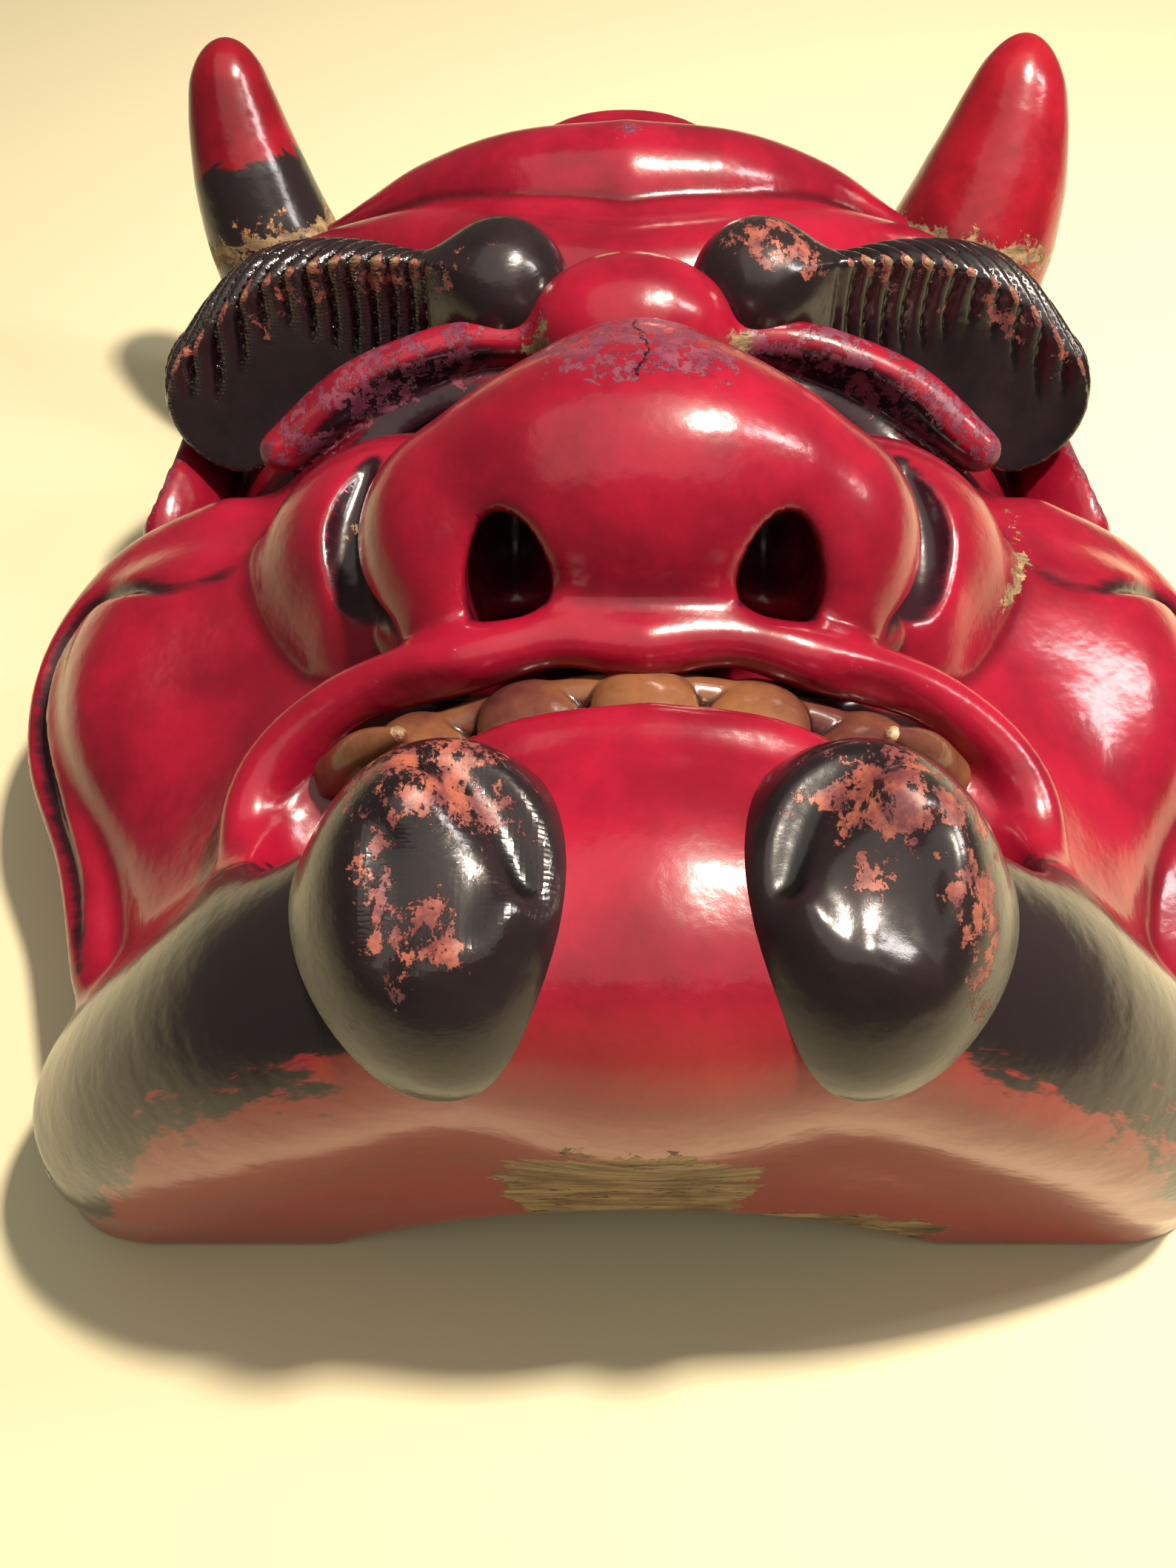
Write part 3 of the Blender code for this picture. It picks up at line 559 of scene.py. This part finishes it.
def wood_group():
    """Old bare wood: long grain, pores and dirt. Gives its colour and its height."""
    tree, _, out = group_of("Old wood", {}, {"Color": (0.0, 0.0, 0.0, 1.0), "Height": 0.0})
    grain = noise(tree, 60, 6, 0.65, (1, 7, 7))
    pores = noise(tree, 260, 3, 0.7, (1, 4, 4))
    dirt = noise(tree, 45, 4, 0.6)
    colour = mixed(tree, ramp(tree, grain, 0.35, 0.68), WOOD_DARK, WOOD_PALE)
    colour = mixed(tree, ramp(tree, pores, 0.60, 0.68), colour, (0.045, 0.026, 0.016, 1))
    colour = mixed(tree, ramp(tree, dirt, 0.50, 0.75), colour, (0.10, 0.065, 0.036, 1))
    tree.links.new(colour, out["Color"])
    height = calc(tree, "SUBTRACT", grain, calc(tree, "MULTIPLY", ramp(tree, pores, 0.60, 0.68), 0.6))
    tree.links.new(height, out["Height"])
    return tree


def wear_group():
    """Where lacquer is gone. Worn and Bare are distances inside a worn place or one rubbed to the wood.
    Gives Ground and Wood, each 1 where it shows, and Depth, how far below the lacquer."""
    tree, given, out = group_of(
        "Wear",
        {"Worn": -1.0, "Bare": -1.0, "Edge": 0.0, "Edge Wear": 0.5},
        {"Ground": 0.0, "Wood": 0.0, "Depth": 0.0},
    )
    ragged = calc(tree, "SUBTRACT", noise(tree, 130, 7, 0.72), 0.5)
    fine = calc(tree, "SUBTRACT", noise(tree, 620, 4, 0.7), 0.5)
    shape = calc(tree, "ADD", calc(tree, "MULTIPLY", ragged, 0.030), calc(tree, "MULTIPLY", fine, 0.006))
    worn = ramp(tree, calc(tree, "ADD", given["Worn"], shape), -0.0002, 0.0002)
    flecks = ramp(tree, noise(tree, 300, 6, 0.75, (1, 0.6, 1)), 0.47, 0.50)
    worn = calc(tree, "MULTIPLY", worn, flecks)
    bare = ramp(tree, calc(tree, "ADD", given["Bare"], calc(tree, "MULTIPLY", shape, 0.6)), -0.0001, 0.0002)
    rub = calc(tree, "ADD", given["Edge"], calc(tree, "MULTIPLY", ragged, 0.9))
    rub = calc(tree, "ADD", rub, calc(tree, "MULTIPLY", fine, 0.5))
    start = calc(tree, "SUBTRACT", 0.75, given["Edge Wear"])
    rubbed = ramp(tree, calc(tree, "SUBTRACT", rub, start), 0.0, 0.10)
    through = ramp(tree, calc(tree, "SUBTRACT", rub, start), 0.18, 0.30)
    ground = calc(tree, "MAXIMUM", calc(tree, "MAXIMUM", worn, rubbed), bare)
    wood = calc(tree, "MAXIMUM", bare, through)
    tree.links.new(ground, out["Ground"])
    tree.links.new(wood, out["Wood"])
    tree.links.new(calc(tree, "ADD", ground, wood), out["Depth"])
    return tree


def inside(points, *forms):
    """How deep points lie in the nearest of some forms, below 0 outside them all."""
    return np.max([-form.distance(*points.T) for form in forms], axis=0)


def lacquer(name, bright, dark, ground_colours, edge_wear, wood, wear):
    """Shiny lacquer of one colour over ground and wood, with wear and fine unevenness, painted shade in
    valleys and deep cuts, and a painted reflection of the floor low on the chin.
    """
    material = bpy.data.materials.new(name)
    material.use_nodes = True
    tree = material.node_tree
    shader = tree.nodes["Principled BSDF"]
    edge = mark(tree, "edge")
    worn = node(
        tree, "ShaderNodeGroup", {"node_tree": wear},
        Worn=mark(tree, "worn"), Bare=mark(tree, "bare"), Edge=edge, Edge_Wear=edge_wear,
    ).outputs
    under = node(tree, "ShaderNodeGroup", {"node_tree": wood}).outputs
    cloud = noise(tree, 38, 5, 0.6)
    mottle = noise(tree, 520, 4, 0.7)
    coat = mixed(tree, ramp(tree, cloud, 0.30, 0.70), dark, bright)
    coat = mixed(tree, calc(tree, "MULTIPLY", ramp(tree, mottle, 0.50, 0.80), 0.35), coat, dark)
    # painted shade: the coat turns darker, towards a quarter of the dark colour, in the valleys and creases
    # of the carving
    valley = ramp(tree, edge, -0.02, -0.35)
    valley_shade_colour = tuple(c * 0.25 for c in dark[:3]) + (1,)
    coat = mixed(tree, calc(tree, "MULTIPLY", valley, 0.85), coat, valley_shade_colour)
    strokes = calc(tree, "SUBTRACT", noise(tree, 170, 5, 0.65, (0.35, 2.2, 0.6)), 0.5)
    painted = calc(tree, "ADD", mark(tree, "black"), calc(tree, "MULTIPLY", strokes, 0.013))
    # painted reflection of the warm floor: the coat turns a paler salmon red near the chin's bottom edge
    coat = mixed(tree, ramp(tree, mark(tree, "bounce_lit"), -0.008, 0.006), coat, BOUNCE_LIT_RED)
    coat = mixed(tree, ramp(tree, painted, -0.0007, 0.0007), coat, BLACK_PAINT)
    # the dark mark: painted shade in eyes, mouth, cheek gaps and nostrils, and dark paint in the jowl lines
    shade = calc(tree, "ADD", mark(tree, "dark"), calc(tree, "MULTIPLY", strokes, 0.002))
    coat = mixed(tree, ramp(tree, shade, -0.0005, 0.0009), coat, SHADE_AND_DARK_PAINT)
    ground = mixed(tree, ramp(tree, noise(tree, 240, 4, 0.7), 0.35, 0.65), *ground_colours)
    colour = mixed(tree, worn["Ground"], coat, ground)
    colour = mixed(tree, worn["Wood"], colour, under["Color"])
    wander = calc(tree, "MULTIPLY", calc(tree, "SUBTRACT", noise(tree, 110, 6, 0.7), 0.5), 0.009)
    beside = calc(tree, "ABSOLUTE", calc(tree, "ADD", mark(tree, "crack"), wander))
    cracked = ramp(tree, beside, 2 * CRACK_HALF_WIDTH, CRACK_HALF_WIDTH)
    colour = mixed(tree, cracked, colour, (0.006, 0.003, 0.003, 1))
    tree.links.new(colour, shader.inputs["Base Color"])
    rough = calc(tree, "ADD", 0.12, calc(tree, "MULTIPLY", worn["Depth"], 0.26))
    rough = calc(tree, "ADD", rough, calc(tree, "MULTIPLY", mottle, 0.12))
    tree.links.new(rough, shader.inputs["Roughness"])
    shine = calc(tree, "MULTIPLY", calc(tree, "SUBTRACT", 1.0, worn["Ground"]), 0.25)
    tree.links.new(shine, shader.inputs["Coat Weight"])
    shader.inputs["Coat Roughness"].default_value = 0.30
    shader.inputs["Specular IOR Level"].default_value = 0.45
    height = calc(tree, "MULTIPLY", worn["Depth"], -0.00012)
    height = calc(tree, "ADD", height, calc(tree, "MULTIPLY", noise(tree, 90, 3, 0.5), 0.00045))
    height = calc(tree, "ADD", height, calc(tree, "MULTIPLY", mottle, 0.00004))
    grain = calc(tree, "MULTIPLY", calc(tree, "MULTIPLY", under["Height"], worn["Wood"]), 0.00045)
    height = calc(tree, "ADD", height, grain)
    height = calc(tree, "SUBTRACT", height, calc(tree, "MULTIPLY", cracked, 0.0006))
    bump = node(tree, "ShaderNodeBump", Height=height, Distance=1.0, Strength=1.0)
    tree.links.new(bump.outputs[0], shader.inputs["Normal"])
    return material


old_wood = wood_group()
wear = wear_group()

# places rubbed to the ground or to the wood, left of the nose below 0 across
RUBBED_TO_GROUND = (
    Lump((-0.010, 0.468, 0.92), (0.125, 0.060, 0.20)),
    Lump((0.085, 0.445, 0.90), (0.050, 0.035, 0.10)),
)
RUBBED_TO_WOOD = (
    Lump((-0.02, 0.010, 0.30), (0.175, 0.10, 0.265)),
    Lump((0.16, 0.020, 0.09), (0.300, 0.08, 0.085)),
    Lump((-0.242, 0.299, 0.705), (0.040, 0.012, 0.03)),
    Lump((0.228, 0.300, 0.695), (0.050, 0.012, 0.03)),
    Lump((-0.180, 0.642, 0.690), (0.030, 0.012, 0.03)),
    Lump((0.180, 0.642, 0.690), (0.030, 0.012, 0.03)),
    Ridge(((-0.06, 0.700, 0.785, 0.004), (0.00, 0.706, 0.790, 0.009), (0.06, 0.700, 0.785, 0.004))),
    Ridge(((0.668, 0.545, 0.51, 0.004), (0.640, 0.470, 0.53, 0.009), (0.555, 0.412, 0.56, 0.004))),
)
NOSE_CRACK = (Lump((-0.004, 0.462, 0.93), (0.07, 0.052, 0.16)), -0.0005)  # zone, place across


def carve_face(block):
    """Carves the outer form of the face, still solid behind, into a block of X 0 and above."""
    x, y, z = block.axes
    line = np.array(smooth_line(list(np.array(HEAD_SECTIONS)), 8))
    half_width, crown, squareness = (np.interp(y / FACE_HEIGHT, line[:, 0], line[:, c]) for c in (1, 2, 3))
    half_width, crown = half_width * HALF_WIDTH, crown * FACE_DEPTH
    wide = (np.abs(x) / half_width) ** squareness
    high = (np.maximum(z, 0) / crown) ** squareness
    around = np.minimum(half_width, crown)
    block.wood = (((wide + high) ** (1 / squareness) - 1) * around).astype(np.float32)
    block.true_distances()
    block.keep_below(y - CROWN_UP * FACE_HEIGHT, deep(CROWN_BLEND))
    block.keep_below(CHIN_BOTTOM_UP * FACE_HEIGHT - y, deep(CHIN_BOTTOM_BLEND))
    for centre, half_sizes, turn, blend in FACE_LUMPS.values():
        block.add(Lump(centre, half_sizes, turn), deep(blend))
    for rows, blend in FACE_RIDGES.values():
        block.add(Ridge(rows), deep(blend))
    for centre, half_sizes, turn, blend in FACE_SCOOPS.values():
        block.cut(Lump(centre, half_sizes, turn), deep(blend))
    for rows, blend in LIP_RIDGES.values():
        block.add(Ridge(rows), deep(blend))


def make_face():
    margin = 3.6 * FACE_STEP
    low = (0.0, -margin, -margin)
    high = (1.08 * HALF_WIDTH, (CROWN_UP + 0.03) * FACE_HEIGHT, 1.04 * FACE_DEPTH)
    half = Block(low, high, FACE_STEP)
    carve_face(half)
    rounding = max(4, round(10 * (0.002 / FACE_STEP) ** 2))
    hollow = np.maximum(half.wood, softened(half.wood, rounding)) + WALL
    hollow = softened(np.maximum.accumulate(hollow, axis=2), rounding)
    tail = Ridge([(*row[:3], row[3] + swell) for row, swell in zip(TUFT_TAIL, TAIL_SWELL)])
    half.add(tail, deep(0.10))
    outer = half.wood.copy()
    half.keep_below(-hollow)
    for rows, blend in FACE_GOUGES.values():
        half.cut(Ridge(rows), deep(blend))
    x, y, z = half.axes
    radius = (CHIN_ARCH_HALF_SPAN**2 + CHIN_ARCH_RISE**2) / (2 * CHIN_ARCH_RISE)
    arch = np.sqrt(x * x + (z - CHIN_ARCH_RISE + radius) ** 2) - radius
    arch = np.maximum(arch, y - CHIN_ARCH_REACH_UP * FACE_HEIGHT)
    half.keep_below(-arch, CHIN_ARCH_BLEND)
    half.keep_below(-z, RIM_BLEND)
    slot = place(CORD_HOLE)
    hole = np.sqrt(((y - slot[1]) / CORD_HOLE_HALF_UP) ** 2 + ((z - slot[2]) / CORD_HOLE_HALF_OUT) ** 2) - 1
    half.keep_below(-np.maximum(hole * CORD_HOLE_HALF_OUT, slot[0] - CORD_HOLE_DEPTH - x))
    half.wood = softened(half.wood, 1)
    block = half.mirrored()
    points, quads = skin(block)
    beside = np.abs(points[:, 0])
    folded = np.stack([beside, points[:, 1], points[:, 2]], axis=1)
    depth_in = read_at(outer, half.low, FACE_STEP, folded)
    # the dark mark: painted shade in the eyes and their sockets, the mouth, the cheek gaps and the
    # nostrils, and dark paint in the jowl lines; where it lies, the back is not shown as bare wood
    cuts = [
        Ridge([(*row[:3], row[3] + more) for row in FACE_GOUGES[cut][0]]) for cut, more in SHADED_AND_PAINTED_CUTS.items()
    ]
    lid = Ridge([(*row[:3], row[3] + LID_WORN_ROUND) for row in FACE_RIDGES["upper_eyelid"][0]])
    nostril = inside(folded, Lump(*FACE_SCOOPS["nostril"][:2]), Ridge(FACE_GOUGES["nostril_passage"][0]))
    nostril = np.minimum(nostril, -LIP_KEPT_RED - inside(folded, Ridge(LIP_RIDGES["upper_lip"][0])))
    dark = np.maximum(nostril, inside(folded, *cuts))
    hollow_wood = np.minimum(-depth_in - PAINT_REACH, -dark)
    marks = {
        "edge": turn_of(block, points, 5),
        "worn": np.maximum(inside(points, *RUBBED_TO_GROUND), inside(folded, lid)),
        "bare": np.maximum(inside(points, *RUBBED_TO_WOOD), hollow_wood),
        "black": inside(folded, Ridge(TAIL_PAINT)),
        # painted floor reflection: how far below its height a point lies
        "bounce_lit": BOUNCE_LIT_UP * FACE_HEIGHT - points[:, 1],
        "dark": dark,
        "crack": np.where(inside(points, NOSE_CRACK[0]) > 0, points[:, 0] - NOSE_CRACK[1], 1.0),
    }
    front = (depth_in[quads] > -FRONT_DEPTH).all(axis=1)
    red = lacquer("red_lacquer", RED_BRIGHT, RED_DARK, RED_GROUNDS, 0.20, old_wood, wear)
    pieces = [
        carving("face_front", block, points, quads[front], marks, red),
        carving("face_back", block, points, quads[~front], marks, red),
    ]
    for piece in pieces:
        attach(piece, "root")
        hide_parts("face_shell")


make_face()

# The brows. Each is a carved block let into a shallow seat over the eye, in black lacquer rubbed to
# the ground at its edges. Hair lines are cut across its upper half, and its underside is smooth.
PIECE_STEP = 0.0008
BROW_KNOB = ((0.225, 0.724, 0.685), (0.120, 0.060, 0.120), (0, 0, 0))
BROW_LINE = (
    (0.24, 0.716, 0.68, 0.080),
    (0.37, 0.712, 0.66, 0.080),
    (0.50, 0.746, 0.62, 0.112),
    (0.64, 0.764, 0.57, 0.128),
    (0.77, 0.742, 0.48, 0.110),
)
BROW_DROP = ((0.38, 0.708, 0.65, 0.070), (0.55, 0.714, 0.585, 0.092), (0.74, 0.690, 0.47, 0.090))
BROW_FACET = (
    (0.40, 0.466, 0.835, 0.480),
    (0.50, 0.478, 0.800, 0.480),
    (0.64, 0.490, 0.755, 0.480),
    (0.80, 0.473, 0.655, 0.480),
)
HAIR_PITCH = 0.0056
HAIR_DEPTH = 0.0019
HAIR_LEAN = (1, 0.9, -0.25)  # how the lines run on across, up and out
HAIR_WAVE = (0.0008, 0.004)  # how far a line sways, and over what length
HAIR_BELOW_MIDDLE = 0.011
HAIR_FADE = 0.004
HAIR_FROM_ACROSS = 0.34
HAIR_FULL_ACROSS = 0.40
BROW_BLEND = 0.12
BLACK_BRIGHT = (0.022, 0.014, 0.016, 1)
BLACK_DARK = (0.008, 0.005, 0.006, 1)
BLACK_GROUNDS = ((0.12, 0.028, 0.034, 1), (0.33, 0.095, 0.060, 1))
BROW_RUBBED = {
    "left": (
        Ridge(((-0.27, 0.700, 0.770, 0.012), (-0.38, 0.696, 0.740, 0.022), (-0.50, 0.716, 0.710, 0.012),
               (-0.62, 0.716, 0.675, 0.016), (-0.80, 0.700, 0.575, 0.014))),
    ),
    "right": (
        Lump((0.235, 0.712, 0.79), (0.075, 0.026, 0.05)),
        Ridge(((0.30, 0.696, 0.765, 0.012), (0.45, 0.702, 0.720, 0.016), (0.62, 0.712, 0.680, 0.022),
               (0.80, 0.698, 0.570, 0.020))),
    ),
}
black = lacquer("black_lacquer", BLACK_BRIGHT, BLACK_DARK, BLACK_GROUNDS, 0.15, old_wood, wear)


def piece_block(forms):
    """A block just large enough for the forms."""
    margin = 3 * PIECE_STEP + 0.005
    low = np.min([form.low for form in forms], axis=0) - margin
    high = np.max([form.high for form in forms], axis=0) + margin
    return Block(low, high, PIECE_STEP)


def plain_marks(edge):
    """The marks of a piece with no worn place of its own."""
    none = np.full(len(edge), -1.0)
    unmarked = {mark: none for mark in ("worn", "bare", "black", "bounce_lit", "dark")}
    return {"edge": edge, "crack": -none, **unmarked}


def pair(name, block, rubbed, material):
    """The right-hand piece and the left-hand one as its mirror image, each with its own worn places."""
    points, quads = skin(block)
    marks = plain_marks(turn_of(block, points, 5))
    for side, sign in (("right", 1), ("left", -1)):
        marks["worn"] = inside(points * (sign, 1, 1), *rubbed[side])
        piece = carving(f"{name}_{side}_carved", block, points, quads, marks, material)
        if sign < 0:
            piece.data.transform(Matrix.Diagonal((-1, 1, 1, 1)))
            piece.data.flip_normals()
        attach(piece, "root")
        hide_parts(f"{name}_{side}")


def make_brows():
    line, drop, knob = Ridge(BROW_LINE), Ridge(BROW_DROP), Lump(*BROW_KNOB)
    block = piece_block([line, drop, knob])
    block.add(line, deep(BROW_BLEND))
    block.add(drop, deep(BROW_BLEND))
    block.cut(Ridge(BROW_FACET), deep(0.006))
    block.add(knob, deep(0.05))
    x, y, z = block.axes
    shares = [row[0] for row in BROW_LINE]
    middle = np.interp(x / HALF_WIDTH, shares, [row[1] for row in BROW_LINE]) * FACE_HEIGHT
    upper = np.clip((y - middle + HAIR_BELOW_MIDDLE) / HAIR_FADE, 0, 1)
    outer = (x / HALF_WIDTH - HAIR_FROM_ACROSS) / (HAIR_FULL_ACROSS - HAIR_FROM_ACROSS)
    lean, sway = HAIR_LEAN, HAIR_WAVE[0] * np.sin(y / HAIR_WAVE[1])
    waves = lean[0] * x + lean[1] * y + lean[2] * z + sway
    crest = (1 - np.abs(np.sin(math.pi * waves / HAIR_PITCH))) ** 1.5
    block.wood += HAIR_DEPTH * upper * np.clip(outer, 0, 1) * crest
    pair("brow", block, BROW_RUBBED, black)


make_brows()

# The chin tufts. Each is a round curl at the mouth's corner in a thick collar, with a tail that
# runs out along the jaw. It is cut from one block, grooved with a gouge and lacquered black.
TUFT_CURL = ((0.243, 0.120, 0.745), (0.137, 0.076, 0.165), (0, 0, 0))
TUFT_COLLAR = ((0.225, 0.102, 0.690), (0.135, 0.088, 0.150), (0, 0, 0))
TUFT_GROOVES = (
    ((0.262, 0.156, 0.895, 0.014), (0.215, 0.152, 0.900, 0.033), (0.165, 0.125, 0.883, 0.036),
     (0.140, 0.090, 0.842, 0.016)),
    ((0.235, 0.138, 0.912, 0.014), (0.200, 0.118, 0.906, 0.033), (0.185, 0.092, 0.892, 0.036),
     (0.200, 0.060, 0.862, 0.016)),
    ((0.262, 0.122, 0.920, 0.014), (0.240, 0.104, 0.910, 0.031), (0.230, 0.082, 0.892, 0.034),
     (0.248, 0.052, 0.857, 0.016)),
    ((0.300, 0.108, 0.900, 0.014), (0.282, 0.090, 0.893, 0.028), (0.275, 0.068, 0.872, 0.028),
     (0.290, 0.045, 0.842, 0.014)),
)
TUFT_RUBBED = {
    "left": (
        Lump((-0.240, 0.150, 0.890), (0.090, 0.030, 0.07)),
        Lump((-0.165, 0.120, 0.900), (0.022, 0.040, 0.05)),
        Lump((-0.250, 0.060, 0.870), (0.060, 0.022, 0.06)),
        Lump((-0.300, 0.100, 0.860), (0.020, 0.030, 0.05)),
        Lump((-0.350, 0.022, 0.765), (0.016, 0.008, 0.03)),
        Lump((-0.510, 0.038, 0.594), (0.014, 0.008, 0.03)),
    ),
    "right": (
        Lump((0.250, 0.136, 0.900), (0.100, 0.034, 0.06)),
        Lump((0.335, 0.095, 0.850), (0.032, 0.040, 0.07)),
        Lump((0.225, 0.095, 0.900), (0.024, 0.032, 0.04)),
        Lump((0.350, 0.040, 0.780), (0.012, 0.008, 0.03)),
    ),
}


def make_tufts():
    curl, collar = Lump(*TUFT_CURL), Lump(*TUFT_COLLAR)
    tail = Ridge([(*row[:3], row[3] - 0.012) for row in TUFT_TAIL])
    block = piece_block([curl, collar, tail])
    block.add(collar, deep(0.14))
    block.add(tail, deep(0.14))
    block.add(curl, deep(0.10))
    for groove in TUFT_GROOVES:
        block.cut(Ridge(groove), deep(0.024))
    block.wood = softened(block.wood, 4)
    pair("chin_tuft", block, TUFT_RUBBED, black)


make_tufts()

# The teeth. A bar of gum with broad teeth and two small fangs, let in behind the upper lip. It was
# gilt once and is now worn brown.
TOOTH_STEP = 0.0005
GUM_LINE = (
    (-0.38, 0.254, 0.61, 0.026),
    (-0.19, 0.274, 0.665, 0.028),
    (0.00, 0.280, 0.690, 0.028),
    (0.19, 0.274, 0.665, 0.028),
    (0.38, 0.254, 0.61, 0.026),
)
TEETH = 5
TOOTH_PITCH = 0.150
TOOTH_HALF_SIZES = (0.074, 0.038, 0.040)
TOOTH_DROP = 0.020  # from the gum's line to a tooth's middle
TOOTH_OUT = 0.010
FANG = ((0.420, 0.246, 0.60, 0.034), (0.375, 0.242, 0.665, 0.028), (0.322, 0.236, 0.715, 0.012))
GILT_BRIGHT = (0.24, 0.100, 0.040, 1)
GILT_DARK = (0.07, 0.016, 0.018, 1)
GILT_GROUNDS = ((0.16, 0.035, 0.03, 1), (0.62, 0.42, 0.26, 1))


def make_teeth():
    gum = Ridge(GUM_LINE)
    fangs = [Ridge([(side * row[0], *row[1:]) for row in FANG]) for side in (-1, 1)]
    margin = 3 * TOOTH_STEP
    low = np.min([form.low for form in (gum, *fangs)], axis=0) - margin - deep(0.03)
    high = np.max([form.high for form in (gum, *fangs)], axis=0) + margin + deep(0.03)
    block = Block(low, high, TOOTH_STEP)
    block.add(gum)
    across, up, out, _ = np.array(GUM_LINE).T
    for k in range(TEETH):
        spot = (k - (TEETH - 1) / 2) * TOOTH_PITCH
        middle = (spot, np.interp(spot, across, up) - TOOTH_DROP, np.interp(spot, across, out) + TOOTH_OUT)
        block.add(Lump(middle, TOOTH_HALF_SIZES), deep(0.004))
    for fang in fangs:
        block.add(fang, deep(0.015))
    points, quads = skin(block)
    gilt = lacquer("old_gilt", GILT_BRIGHT, GILT_DARK, GILT_GROUNDS, 0.25, old_wood, wear)
    marks = plain_marks(turn_of(block, points, 5))
    teeth = carving("tooth_row_carved", block, points, quads, marks, gilt)
    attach(teeth, "root")
    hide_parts("tooth_row")


make_teeth()

# The horns. Blunt turned cones of wood, bowed a little outwards and let into the forehead, each with
# a ring rubbed to the wood where it stands. The left one is blackened over its lower half.
HORN_TIP_RADIUS = 0.0070
HORN_FOOT = (0.745, 0.985, 0.43)
HORN_POINTS = (0.20, 0.42, 0.88)
HORN_SEAT_DEPTH = 0.005
HORNS = (
    # side, sign, length, radius at the foot
    ("left", -1, 0.050, 0.0178),
    ("right", 1, 0.051, 0.0228),
)
HORN_PROFILE = ((0.0, 1.0), (0.2, 0.90), (0.45, 0.70), (0.7, 0.43), (0.86, 0.22), (0.93, 0.11), (1.0, 0.0))
HORN_BOW = 0.05
HORN_SIDES = 96
HORN_RINGS = 90
HORN_BRIGHT = (0.34, 0.008, 0.020, 1)
HORN_DARK = (0.15, 0.003, 0.010, 1)
HORN_GROUNDS = ((0.10, 0.020, 0.035, 1), (0.50, 0.24, 0.085, 1))
# how far up each horn the blackened part and the rubbed ring reach
HORN_BLACKENED = {"left": 0.50, "right": -1.0}
HORN_RING = {"left": (0.17, 0.06), "right": (0.15, 0.035)}
horn_red = lacquer("dark_red_lacquer", HORN_BRIGHT, HORN_DARK, HORN_GROUNDS, 0.12, old_wood, wear)


def make_horn(side, sign, length, base_radius):
    points = Vector(HORN_POINTS).normalized()
    foot = Vector(place(HORN_FOOT)) - points * HORN_SEAT_DEPTH
    outwards = Vector((1, 0, 0)) - points * points.x
    tall = length + HORN_SEAT_DEPTH
    turned = points.to_track_quat("Z", "X").to_matrix()
    shares, fullness = zip(*HORN_PROFILE)
    spots, along_each = [], []
    for k in range(HORN_RINGS):
        along = 1 - (1 - k / (HORN_RINGS - 1)) ** 2
        radius = HORN_TIP_RADIUS + np.interp(along, shares, fullness) * (base_radius - HORN_TIP_RADIUS)
        left_over = (1 - along) * tall
        if left_over < radius:
            radius = math.sqrt(max(0.0, left_over * (2 * radius - left_over)))
        bow = HORN_BOW * length * 4 * along * (1 - along)
        centre = foot + points * along * tall + outwards * bow
        for n in range(HORN_SIDES):
            angle = 2 * math.pi * n / HORN_SIDES
            spots.append(centre + turned @ Vector((math.cos(angle), math.sin(angle), 0)) * radius)
            along_each.append(along)
    faces = []
    for k in range(HORN_RINGS - 1):
        for n in range(HORN_SIDES):
            m = (n + 1) % HORN_SIDES
            lower, upper = k * HORN_SIDES, (k + 1) * HORN_SIDES
            face = (lower + n, lower + m, upper + m, upper + n)
            faces.append(face if sign > 0 else face[::-1])
    spots = [Vector((sign * p.x, p.y + CHIN_Y, p.z)) for p in spots]
    mesh = bpy.data.meshes.new(f"horn_{side}_carved")
    mesh.from_pydata(spots, [], faces)
    mesh.shade_smooth()
    along_each = np.array(along_each)
    marks = plain_marks(np.zeros(len(spots)))
    marks["black"] = (HORN_BLACKENED[side] - along_each) * tall
    middle, half = HORN_RING[side]
    marks["worn"] = (half - np.abs(along_each - middle)) * tall
    marks["bare"] = marks["worn"] - 0.3 * half * tall
    for mark_name, values in marks.items():
        layer = mesh.attributes.new(mark_name, "FLOAT", "POINT")
        layer.data.foreach_set("value", values.astype(np.float32))
    mesh.materials.append(horn_red)
    piece = bpy.data.objects.new(f"horn_{side}_carved", mesh)
    bpy.context.scene.collection.objects.link(piece)
    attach(piece, "root")
    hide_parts(f"horn_{side}")


for row in HORNS:
    make_horn(*row)
